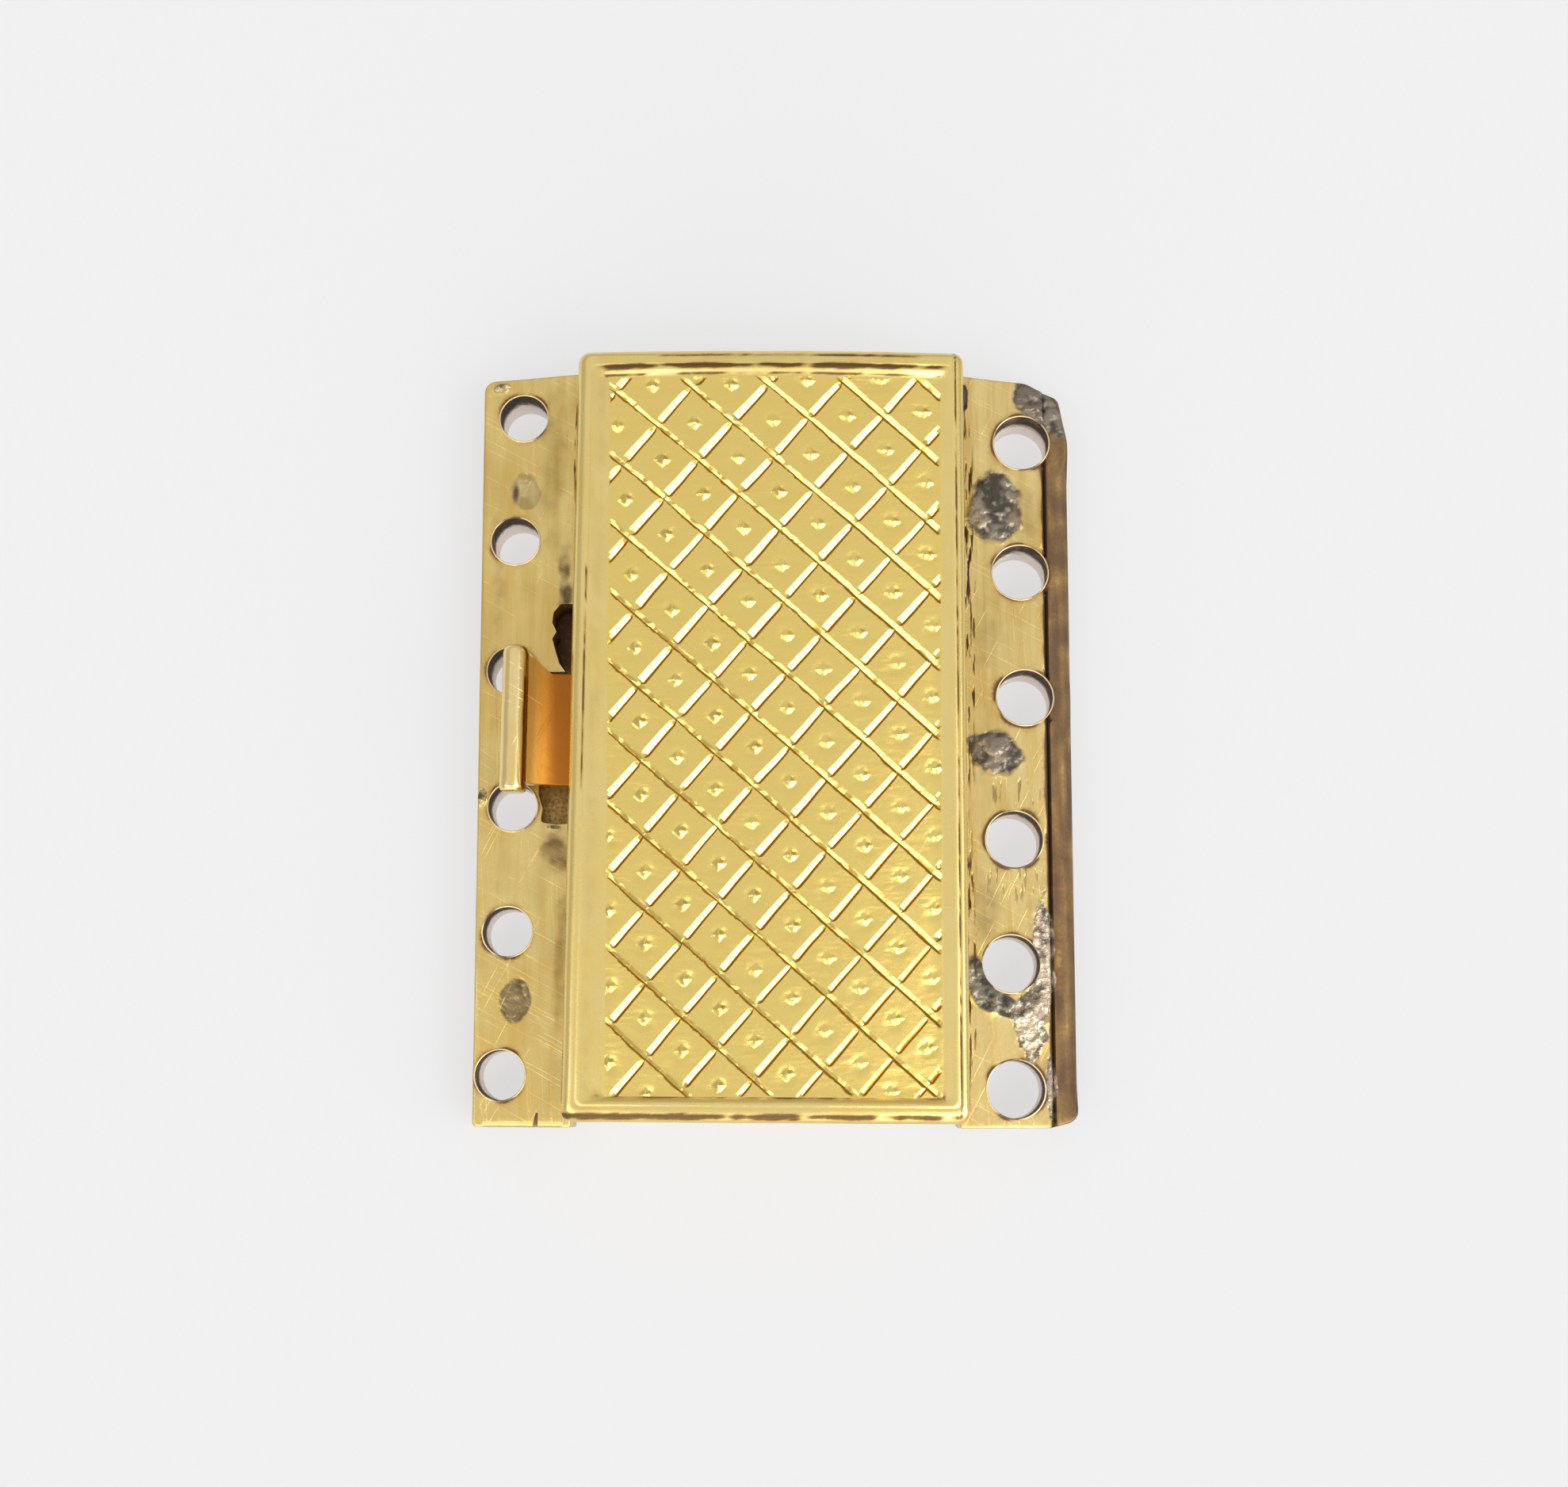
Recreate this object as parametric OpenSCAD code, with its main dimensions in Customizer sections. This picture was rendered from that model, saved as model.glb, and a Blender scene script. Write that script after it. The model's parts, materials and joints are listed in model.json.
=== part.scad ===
// Box clasp for a six-strand necklace: an engraved case with an end bar, and a tongue with a
// spring latch that slides into it. Millimetres. X runs along the strands' pull, Y along the row
// of holes, Z up. The origin is on the resting plane, under the middle of the case.

/* [Case] */
// Width of the case at its walls
case_w = 12; // [11.6:0.1:12.6]
// Length of the case at its walls
case_l = 24.2; // [24:0.1:25]
// Height of the case at its long edges
case_h = 4.1; // [4:0.05:4.6]
// Rise of the domed top from its long edges to its middle
crown = 0.4; // [0.3:0.05:0.6]
// Thickness of the case's walls
wall_t = 0.45; // [0.35:0.05:0.5]
// Thickness of the case's base
base_t = 0.4; // [0.3:0.05:0.4]
// Thickness of the frame round the panel, with the ledge that carries it
frame_t = 0.9; // [0.85:0.05:1]
// Rounding of the case's top edges
edge_r = 0.4; // [0.3:0.05:0.45]
// How far the rim round the top stands out over the two long walls
brim_side = 0.2; // [0.1:0.05:0.25]
// How far it stands out over the two end walls
brim_end = 0.12; // [0.06:0.02:0.2]
// Rounding of the case's upright corners
corner_r = 0.35; // [0.2:0.05:0.6]

/* [Engraved panel] */
// Width of the panel at its far end
panel_w_far = 10.62; // [10.2:0.02:10.8]
// Width of the panel at its near end
panel_w_near = 10.2; // [9.8:0.02:10.4]
// Length of the panel
panel_l = 22.7; // [22.2:0.1:23]
// Thickness of the panel's sheet
panel_t = 0.45; // [0.35:0.05:0.5]
// How far the panel lies below the frame's top
panel_drop = 0.1; // [0.05:0.01:0.15]
// Depth of the cuts
cut_depth = 0.1; // [0.05:0.01:0.15]
// Width of the broad cuts, which lean to the right
broad_cut = 0.3; // [0.2:0.02:0.36]
// Width of the narrow cuts, which lean to the left
narrow_cut = 0.16; // [0.1:0.02:0.2]
// Share of each cell's side that a broad cut runs along
broad_share = 0.88; // [0.7:0.02:0.92]
// Height of the punched pips
pip_h = 0.12; // [0.06:0.01:0.16]

/* [Bars] */
// Thickness of the two bars
bar_t = 1.8; // [1.6:0.05:1.8]
// Width of the tongue's bar at its far end
tongue_bar_far = 3.45; // [3.3:0.05:3.8]
// Width of the tongue's bar at its near end
tongue_bar_near = 3.05; // [3.05:0.05:3.6]
// Width of the end bar, with its rail
end_bar_w = 3.77; // [3.7:0.01:4]
// Radius of the holes in the tongue's bar
tongue_hole_r = 0.78; // [0.6:0.01:0.8]
// Radius of the holes in the end bar
end_hole_r = 0.9; // [0.7:0.01:0.92]
// Height of the holes' rims above the bars
rim_h = 0.03; // [0.02:0.01:0.06]
// Width of the holes' rims
rim_w = 0.08; // [0.06:0.01:0.1]

/* [Latch] */
// Thickness of the tongue's and the latch's sheet
leaf_t = 0.3; // [0.26:0.01:0.32]
// Width of the tongue's leaf
tongue_w = 21.8; // [20:0.1:22]
// Width of the latch's leaf
latch_w = 19.2; // [16:0.1:20]
// How far the catch stands behind the case's lip
catch_bite = 0.25; // [0.15:0.01:0.26]
// Width of the strip to the thumb tab
strip_w = 3.6; // [3:0.1:3.6]
// Length of the thumb tab's lip
lip_l = 4.7; // [4:0.1:5]
// Height of the thumb tab's top
lip_top = 3.5; // [3.4:0.05:3.7]
// Thickness of the thumb tab's folded lip
lip_t = 0.8; // [0.6:0.05:0.8]

/* [Hidden] */

half_w = case_w / 2;
half_l = case_l / 2;
dome_r = (half_w * half_w + crown * crown) / (2 * crown); // radius of the domed top
dome_z = case_h + crown - dome_r;                          // height of its axis
dome_slope = half_w / (dome_r - crown);                    // its slope at the long edges
tall = 10;       // longer than any height here
base_edge_r = 0.1;               // rounding of the case's bottom edges
seam = 0.03;     // gap along a soldered or fitted seam
eps = 0.02;      // overshoot that keeps a cut open

panel_left_far = -5.16;          // left edge of the panel at its far end
panel_left_near = -4.84;         // and at its near end
panel_y = -0.1;                  // middle of the panel along the case
ledge_w = 0.4;                   // width of the ledge under the panel's edge
brim_low = 3.2;                  // underside of the rim round the case's top
groove_left = 0.25;              // the frame's groove lies this far in from the case's left wall
groove_right = 0.1;              // from its right wall
groove_end = 0.36;               // and from its two end walls
groove_w = 0.12;                 // width of the groove
groove_depth = 0.06;             // and its depth

slot_top = bar_t + 0.1;          // the lip over the slot in the case's left wall
slot_l = tongue_w + 0.7;         // length of that slot
notch_gap = 0.15;                // clearance beside the strip in the lip's notch
notch_top = 3.05;                // top of that notch

// The lattice of cuts: one crossing, the step to the next one along each family of cuts, and how
// much the steps along the narrow cuts close up towards the right
lattice_start = [-1.59, -0.95];
step_broad = [1.096, 1.259];
step_narrow = [1.2, -1.05];
close_up = 0.012;
lattice_reach = 9;               // how many steps each way are tried
field_margin = 0.08;             // bare edge of the panel round the cuts
pip_margin = 0.35;               // and round the pips
pip_r = 0.28;                    // radius of a pip's foot
pip_tip_r = 0.1;                 // and of its tip

// The row of holes in each bar: middle, pitch, and how far each hole strayed from its place
tongue_row = [-8.3, -0.05];
tongue_pitch = 4.3;
tongue_stray = [ // along X, along Y
    [0.1, 0], [-0.05, 0.1], [-0.05, 0.05], [0.1, -0.1], [0.05, 0.2], [-0.05, 0]];
end_row = [8, -0.62];
end_pitch = 4.21;
end_stray = [ // along X, along Y
    [0.25, 0], [0.15, -0.2], [0.25, -0.15], [-0.15, -0.55], [-0.3, -0.3], [-0.2, 0]];

bar_near = -12.4;                // near end of the tongue's bar
bar_far = 12.3;                  // its far end, beside the case
bar_skew = 0.32;                 // how much shorter its outer edge is at the far end
tongue_bar_x = -half_w - 0.1;    // inner edge of the tongue's bar
end_bar_x = half_w + seam;       // inner edge of the end bar
end_bar_outline = [ // share of the bar's width, place along Y, corner radius
    [0, -12.36, 0], [0.76, -12.33, 0], [0.99, -12.1, 0.5], [1, 9.96, 2], [0.92, 11.46, 0.35],
    [0.61, 11.98, 2], [0, 12.27, 0]];
rail_w = 0.85;                   // width of the end bar's rounded rail
rail_top = 1.7;                  // its height
rail_r = 0.55;                   // rounding of its outer shoulder
rail_foot_r = 0.25;              // and of its foot
rail_groove = [0.06, 0.25];      // width and depth of the groove between rail and sheet

deep_notch = [0.95, 2.1, 4.3, 0.5];       // in the tongue's bar: depth along X, ends along Y, floor
shallow_notch = [1.3, -2.85, 2.12, 1.25]; // the same for the one under the strip
cleft_x = -1.06;                 // where the ends of the bar's sheet meet, from its inner edge
cleft = [0.16, 0.45];            // width of that cleft, and its length into the bar
cleft_lean = 14;                 // its lean, in degrees

fold = [4.2, 1];                 // axis of the fold between tongue and latch, in X and Z
fold_gap = 0.05;                 // clearance round the tongue's rounded tip
catch_x = -half_w + wall_t + 0.1;// front of the catch
catch_l = 0.35;                  // its length along X
leaf_drop = 0.05;                // the latch's leaf passes this far under the lip
strip_z = 2.35;                  // underside of the strip where it leaves the case
strip_y = 0.07;                  // middle of the strip
lip_y = 0.33;                    // middle of the thumb tab's lip
lip_x = -8.45;                   // outer face of that lip
lip_foot = 2.55;                 // lowest point of that lip
lip_foot_r = 0.2;                // rounding of its foot
lip_end_r = 0.25;                // and of its ends
curve_x = -6.45;                 // where the strip starts to curve up
curve_r = 1.7;                   // radius of its hollow side
curve_turn = 42;                 // how far it turns, in degrees
under_turn = 26;                 // how far the strip's underside turns
arc_steps = 6;                   // points along a rounded corner or a bend
fold_steps = 16;                 // points along the fold

// Points of the arc that rounds the corner q, between its neighbours p and s
function corner(p, q, s, r, n = arc_steps) =
    let (u = (p - q) / norm(p - q), v = (s - q) / norm(s - q),
         half = acos(u * v) / 2,
         mid = q + (u + v) / norm(u + v) * r / sin(half),
         a = q + u * r / tan(half) - mid, b = q + v * r / tan(half) - mid,
         from = atan2(a[1], a[0]),
         turn = atan2(a[0] * b[1] - a[1] * b[0], a * b))
    [for (k = [0 : n]) mid + r * [cos(from + turn * k / n), sin(from + turn * k / n)]];

// An outline from rows of x, y and corner radius
function rounded(rows) =
    let (n = len(rows), at = function (k) [rows[(k + n) % n][0], rows[(k + n) % n][1]])
    [for (k = [0 : n - 1])
        each (rows[k][2] > 0 ? corner(at(k - 1), at(k), at(k + 1), rows[k][2]) : [at(k)])];

// The panel's outline, grown by g on every side
function panel_outline(g) = [
    [panel_left_near - g, panel_y - panel_l / 2 - g],
    [panel_left_near + panel_w_near + g, panel_y - panel_l / 2 - g],
    [panel_left_far + panel_w_far + g, panel_y + panel_l / 2 + g],
    [panel_left_far - g, panel_y + panel_l / 2 + g]];

// Height of the domed top at x, lowered by d
function dome_height(x, d) = dome_z + sqrt((dome_r - d) * (dome_r - d) - x * x);

// A crossing of the lattice, i steps along the broad cuts and j along the narrow ones
function crossing(i, j) = lattice_start + i * step_broad + (j - close_up * j * j) * step_narrow;

// Whether a point lies on the panel, at least m inside its edge
function on_panel(p, m) =
    let (t = (p[1] - panel_y) / panel_l + 0.5,
         left = panel_left_near + t * (panel_left_far - panel_left_near),
         width = panel_w_near + t * (panel_w_far - panel_w_near))
    p[0] > left + m && p[0] < left + width - m && t * panel_l > m && (1 - t) * panel_l > m;

// Holes' places in a bar
function hole_places(row, pitch, stray) =
    [for (k = [0 : 5]) row + [0, (2.5 - k) * pitch] + stray[k]];

// A profile in X and Z, stretched along Y from y0 to y1
module along_y(profile, y0, y1)
    translate([0, y1, 0]) rotate([90, 0, 0]) linear_extrude(y1 - y0) polygon(profile);

// A profile in Y and Z, stretched along X over w, with its middle at x
module along_x(profile, x, w)
    translate([x, 0, 0]) rotate([90, 0, 90]) linear_extrude(w, center = true) polygon(profile);

// Everything under the domed top, lowered by d
module under_dome(d)
    translate([0, 0, dome_z]) rotate([90, 0, 0])
        cylinder(r = dome_r - d, h = case_l + 10, center = true, $fn = 240);

// A box from corner a to corner b
module box(a, b) translate(a) cube(b - a);

// The case's outer form, grown by side at its long walls and by end at its ends
module case_form(side, end) {
    w = half_w + side;
    l = half_l + end;
    top_edge = case_h - side * dome_slope;
    intersection() {
        linear_extrude(tall) polygon(rounded([
            [-w, -l, corner_r], [w, -l, corner_r], [w, l, corner_r], [-w, l, corner_r]]));
        along_y(rounded([
            [-w, 0, base_edge_r], [w, 0, base_edge_r], [w, top_edge, edge_r],
            [0, case_h + half_w * dome_slope, 0], [-w, top_edge, edge_r]]), -l, l);
        along_x(rounded([
            [-l, 0, base_edge_r], [l, 0, base_edge_r],
            [l, case_h + crown, edge_r], [-l, case_h + crown, edge_r]]), 0, 2 * w + 2);
        under_dome(0);
    }
}

// The walls, with the rim that stands out round their top
module case_block() {
    case_form(0, 0);
    intersection() {
        case_form(brim_side, brim_end);
        box([-case_w, -case_l, brim_low], [case_w, case_l, tall]);
    }
}

module hollow()
    intersection() {
        box([-half_w + wall_t, -half_l + wall_t, base_t],
            [half_w - wall_t, half_l - wall_t, tall]);
        under_dome(frame_t);
    }

module panel_seat() {
    difference() {
        linear_extrude(tall) polygon(panel_outline(seam));
        under_dome(panel_drop + panel_t + seam);
    }
    translate([0, 0, case_h - frame_t]) linear_extrude(tall) polygon(panel_outline(-ledge_w));
}

// The area inside the frame's groove, made smaller by g on every side
module inside_groove(g)
    translate([-half_w + groove_left + g, -half_l + groove_end + g])
        square([case_w - groove_left - groove_right - 2 * g, case_l - 2 * groove_end - 2 * g]);

// A fine groove along the frame
module frame_groove()
    difference() {
        linear_extrude(tall) difference() {
            inside_groove(0);
            inside_groove(groove_w);
        }
        under_dome(groove_depth);
    }

module tongue_slot()
    box([-half_w - 1, -slot_l / 2, base_t], [-half_w + wall_t + eps, slot_l / 2, slot_top]);

module strip_notch()
    box([-half_w - 1, strip_y - strip_w / 2 - notch_gap, base_t + eps],
        [-half_w + wall_t + eps, strip_y + strip_w / 2 + notch_gap, notch_top]);

module case()
    color([0.84, 0.72, 0.42])
        difference() {
            case_block();
            hollow();
            panel_seat();
            frame_groove();
            tongue_slot();
            strip_notch();
        }

// One cut, width w, from point p to point q
module cut(p, q, w) {
    side = [p[1] - q[1], q[0] - p[0]] / norm(q - p) * w / 2;
    polygon([p - side, q - side, q + side, p + side]);
}

module narrow_cuts()
    for (i = [-lattice_reach : lattice_reach])
        cut(crossing(i, -lattice_reach), crossing(i, lattice_reach), narrow_cut);

module broad_cuts()
    for (i = [-lattice_reach : lattice_reach], j = [-lattice_reach : lattice_reach]) {
        near = crossing(i, j);
        side = step_broad;
        rest = side * (1 - broad_share) / 2;
        if (on_panel(near + side / 2, 0)) cut(near + rest, near + side - rest, broad_cut);
    }

module pips()
    for (i = [-lattice_reach : lattice_reach], j = [-lattice_reach : lattice_reach]) {
        p = (crossing(i, j) + crossing(i + 1, j + 1)) / 2;
        if (on_panel(p, pip_margin))
            translate([p[0], p[1], dome_height(p[0], panel_drop) - eps])
                cylinder(r1 = pip_r, r2 = pip_tip_r, h = pip_h + eps, $fn = 24);
    }

// The domed sheet, before it is cut
module panel_sheet()
    difference() {
        intersection() {
            linear_extrude(tall) polygon(panel_outline(0));
            under_dome(panel_drop);
        }
        under_dome(panel_drop + panel_t);
    }

module engraved_panel()
    color([0.87, 0.75, 0.4]) {
        difference() {
            panel_sheet();
            difference() {
                linear_extrude(tall) intersection() {
                    polygon(panel_outline(-field_margin));
                    union() {
                        narrow_cuts();
                        broad_cuts();
                    }
                }
                under_dome(panel_drop + cut_depth);
            }
        }
        pips();
    }

// The rims of the short tubes that line a bar's holes
module rims(places, r)
    for (p = places) translate([p[0], p[1], 0]) cylinder(r = r + rim_w, h = bar_t + rim_h, $fn = 48);

module holes(places, r)
    for (p = places) translate([p[0], p[1], -1]) cylinder(r = r, h = bar_t + 2, $fn = 48);

module end_bar() {
    places = hole_places(end_row, end_pitch, end_stray);
    outer = end_bar_x + end_bar_w;
    sheet = outer - rail_w;
    groove_floor = rail_top - rail_groove[1];
    profile = [ // x, z, corner radius
        [end_bar_x, 0, 0], [outer, 0, rail_foot_r], [outer, rail_top, rail_r],
        [sheet + 2 * rail_groove[0], rail_top, rail_groove[0]],
        [sheet + rail_groove[0], groove_floor, 0], [sheet, groove_floor, 0],
        [sheet - rail_groove[0] / 2, bar_t, rail_groove[0]], [end_bar_x, bar_t, 0]];
    color([0.76, 0.63, 0.38])
        difference() {
            union() {
                intersection() {
                    linear_extrude(tall) polygon(rounded(
                        [for (row = end_bar_outline) [end_bar_x + row[0] * end_bar_w, row[1], row[2]]]));
                    along_y(rounded(profile), -case_l, case_l);
                }
                rims(places, end_hole_r);
            }
            holes(places, end_hole_r);
        }
}

// A notch in the tongue's bar, from its inner edge
module notch(size)
    box([tongue_bar_x - size[0], size[1], size[3]], [tongue_bar_x + 1, size[2], tall]);

module tongue_bar() {
    places = hole_places(tongue_row, tongue_pitch, tongue_stray);
    outline = [ // x, y, corner radius
        [tongue_bar_x, bar_near, 0.05], [tongue_bar_x, bar_far, 0.05],
        [tongue_bar_x - tongue_bar_far, bar_far - bar_skew, 0.4],
        [tongue_bar_x - tongue_bar_near, bar_near, 0.15]];
    color([0.82, 0.69, 0.4])
        difference() {
            union() {
                linear_extrude(bar_t) polygon(rounded(outline));
                rims(places, tongue_hole_r);
            }
            holes(places, tongue_hole_r);
            notch(deep_notch);
            notch(shallow_notch);
            translate([tongue_bar_x + cleft_x, bar_near, bar_t / 2]) rotate([0, 0, -cleft_lean])
                cube([cleft[0], 2 * cleft[1], 2 * bar_t], center = true);
        }
}

module tongue_leaf()
    color([0.8, 0.66, 0.38]) {
        box([tongue_bar_x + seam, -tongue_w / 2, fold[1] - leaf_t / 2],
            [fold[0], tongue_w / 2, fold[1] + leaf_t / 2]);
        translate([fold[0], 0, fold[1]]) rotate([90, 0, 0])
            cylinder(r = leaf_t / 2, h = tongue_w, center = true, $fn = 48);
    }

// The latch's leaf, which goes round the tongue's tip and rises to the catch at its free end
module latch_leaf() {
    inner_r = leaf_t / 2 + fold_gap;
    outer_r = inner_r + leaf_t;
    catch_back = catch_x + catch_l;
    top = slot_top - leaf_drop;
    bend = [for (k = [0 : fold_steps]) 180 * k / fold_steps];
    along_y(concat(
        [for (a = bend) fold + outer_r * [sin(a), cos(a)]],
        [for (k = [fold_steps : -1 : 0]) fold + inner_r * [sin(bend[k]), cos(bend[k])]],
        [[catch_back, top - leaf_t], [catch_x, top - leaf_t], [catch_x, slot_top + catch_bite],
         [catch_back, slot_top + catch_bite], [catch_back, top]]), -latch_w / 2, latch_w / 2);
}

// The riser and the strip that comes out through the notch and curves up to the lip
module strip() {
    foot = slot_top - leaf_drop - leaf_t;
    catch_back = catch_x + catch_l;
    middle = [curve_x, strip_z + leaf_t + curve_r];
    lip_mid = lip_x + lip_t / 2;
    upper = [for (k = [0 : arc_steps]) let (a = curve_turn * k / arc_steps)
        middle - curve_r * [sin(a), cos(a)]];
    under = [for (k = [arc_steps : -1 : 0]) let (a = under_turn * k / arc_steps)
        middle - (curve_r + leaf_t) * [sin(a), cos(a)]];
    along_y(concat(
        [[catch_x, foot], [catch_back, foot], [catch_back, strip_z + leaf_t]],
        upper, [[lip_mid, upper[arc_steps][1]], [lip_mid, lip_foot]], under, [[catch_x, strip_z]]),
        strip_y - strip_w / 2, strip_y + strip_w / 2);
}

// The folded lip, rounded on top and at its ends
module lip() {
    round_r = lip_t / 2 - eps;
    near = lip_y - lip_l / 2;
    far = lip_y + lip_l / 2;
    intersection() {
        along_y(rounded([
            [lip_x, lip_foot, lip_foot_r], [lip_x + lip_t, lip_foot, 0],
            [lip_x + lip_t, lip_top, round_r], [lip_x, lip_top, round_r]]), near, far);
        along_x(rounded([
            [near, 0, 0], [far, 0, 0], [far, lip_top, lip_end_r], [near, lip_top, lip_end_r]]),
            lip_x, 4 * lip_t);
    }
}

module latch_spring()
    color([0.88, 0.74, 0.42]) {
        latch_leaf();
        strip();
        lip();
    }

case();
engraved_panel();
end_bar();
tongue_bar();
tongue_leaf();
latch_spring();
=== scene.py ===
"""A fastened box clasp in worn yellow gold, lying flat on a pale surface.

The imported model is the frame: sizes and places come from its nodes' boxes and its mounts. X runs
along the strands' pull, Y along the rows of holes, Z up. Shapes are worked out in millimetres and
written in metres.
"""

import json
import logging
import math
from contextlib import contextmanager
from dataclasses import dataclass
from enum import Enum
from typing import Callable, Iterator, Sequence

import bmesh
import bpy
import numpy as np
from mathutils import Matrix, Vector, noise
from mathutils.geometry import delaunay_2d_cdt


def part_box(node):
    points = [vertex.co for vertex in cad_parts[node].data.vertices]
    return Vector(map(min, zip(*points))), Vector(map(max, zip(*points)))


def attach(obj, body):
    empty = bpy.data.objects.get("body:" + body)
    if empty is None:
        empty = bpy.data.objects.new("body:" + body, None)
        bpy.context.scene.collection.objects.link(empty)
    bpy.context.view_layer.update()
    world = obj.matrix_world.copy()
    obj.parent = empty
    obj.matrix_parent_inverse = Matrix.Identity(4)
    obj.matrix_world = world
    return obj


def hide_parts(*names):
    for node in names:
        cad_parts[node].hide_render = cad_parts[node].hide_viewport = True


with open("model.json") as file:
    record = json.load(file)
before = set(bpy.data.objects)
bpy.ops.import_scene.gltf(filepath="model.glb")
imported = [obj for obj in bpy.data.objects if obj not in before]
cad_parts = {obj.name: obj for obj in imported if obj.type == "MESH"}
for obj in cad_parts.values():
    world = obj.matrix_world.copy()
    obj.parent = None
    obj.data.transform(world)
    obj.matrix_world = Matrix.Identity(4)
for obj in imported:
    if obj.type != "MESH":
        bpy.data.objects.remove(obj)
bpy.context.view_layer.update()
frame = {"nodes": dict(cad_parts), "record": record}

MM = 0.001
MERGE_MM = 0.0005  # points nearer than this become one
HOLE_POINTS = 48  # points round a hole
FULL_TURN = 6.28  # in radians
FOOT_MM = 0.1  # the chamfer round the case's foot
THIN_SHARE = 0.4  # below this share the film is a thin one
SOLDER_ROUGHNESS = 0.27
Colour = tuple[float, float, float]
Point = tuple[float, float]
Point3 = tuple[float, float, float]
log = logging.getLogger("box_clasp")


class Body(Enum):
    """The moving bodies of the clasp, as the frame names them."""

    CASE = "case"
    TONGUE = "tongue"
    LATCH = "latch"


def box_mm(node: str) -> tuple[Vector, Vector]:
    """Gives a CAD node's lowest and highest corners in millimetres."""
    low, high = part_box(node)
    return low / MM, high / MM


# Node trees


class Field:
    """A value inside a node tree, which arithmetic turns into further nodes."""

    def __init__(self, tree: bpy.types.NodeTree, socket: bpy.types.NodeSocket) -> None:
        """Keeps the tree and the socket that carries the value."""
        self.tree = tree
        self.socket = socket

    def math(self, operation: str, *others: "Field | float") -> "Field":
        """Adds a Math node.

        Args:
            operation: The node's operation, such as ADD.
            others: The further operands, fields or numbers.

        Returns:
            The node's result.
        """
        node = self.tree.nodes.new("ShaderNodeMath")
        node.operation = operation
        for socket, value in zip(node.inputs, (self, *others)):
            put(self.tree, socket, value)
        return Field(self.tree, node.outputs[0])

    def __add__(self, other: "Field | float") -> "Field":
        """Adds another value."""
        return self.math("ADD", other)

    __radd__ = __add__

    def __sub__(self, other: "Field | float") -> "Field":
        """Takes another value away."""
        return self.math("SUBTRACT", other)

    def __rsub__(self, other: float) -> "Field":
        """Is taken away from a number."""
        return self.math("MULTIPLY_ADD", -1.0, other)

    def __mul__(self, other: "Field | float") -> "Field":
        """Multiplies by another value."""
        return self.math("MULTIPLY", other)

    __rmul__ = __mul__

    def __truediv__(self, other: "Field | float") -> "Field":
        """Divides by another value."""
        return self.math("DIVIDE", other)

    def __neg__(self) -> "Field":
        """Turns the value's sign round."""
        return self.math("MULTIPLY", -1.0)

    def __abs__(self) -> "Field":
        """Drops the value's sign."""
        return self.math("ABSOLUTE")

    def floor(self) -> "Field":
        """Rounds the value down."""
        return self.math("FLOOR")

    def root(self) -> "Field":
        """Gives the value's square root."""
        return self.math("SQRT")

    def lesser(self, other: "Field | float") -> "Field":
        """Gives the smaller of the value and another one."""
        return self.math("MINIMUM", other)

    def clamp(self, low: float = 0.0, high: float = 1.0) -> "Field":
        """Keeps the value between low and high."""
        return self.math("MAXIMUM", low).lesser(high)

    def step(self, low: "Field | float", high: "Field | float") -> "Field":
        """Gives 0 below low and 1 above high, with a soft step between them."""
        node = self.tree.nodes.new("ShaderNodeMapRange")
        node.interpolation_type = "SMOOTHSTEP"
        put(self.tree, node.inputs["Value"], self)
        put(self.tree, node.inputs["From Min"], low)
        put(self.tree, node.inputs["From Max"], high)
        return Field(self.tree, node.outputs[0])

    def fade(self, low: "Field | float", high: "Field | float") -> "Field":
        """Gives 1 below low and 0 above high, with a soft step between them."""
        return 1.0 - self.step(low, high)

    def window(self, rise: Point, fall: Point) -> "Field":
        """Gives 1 between a soft rise and a soft fall, and 0 outside them."""
        return self.step(*rise) * self.fade(*fall)


def put(tree: bpy.types.NodeTree, socket: bpy.types.NodeSocket, value: object) -> None:
    """Links a field to a socket, or writes a plain value into it.

    Args:
        tree: The tree that holds the socket.
        socket: The socket to fill.
        value: A field, a number, a vector or a colour.
    """
    if isinstance(value, Field):
        tree.links.new(value.socket, socket)
    else:
        socket.default_value = value


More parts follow.
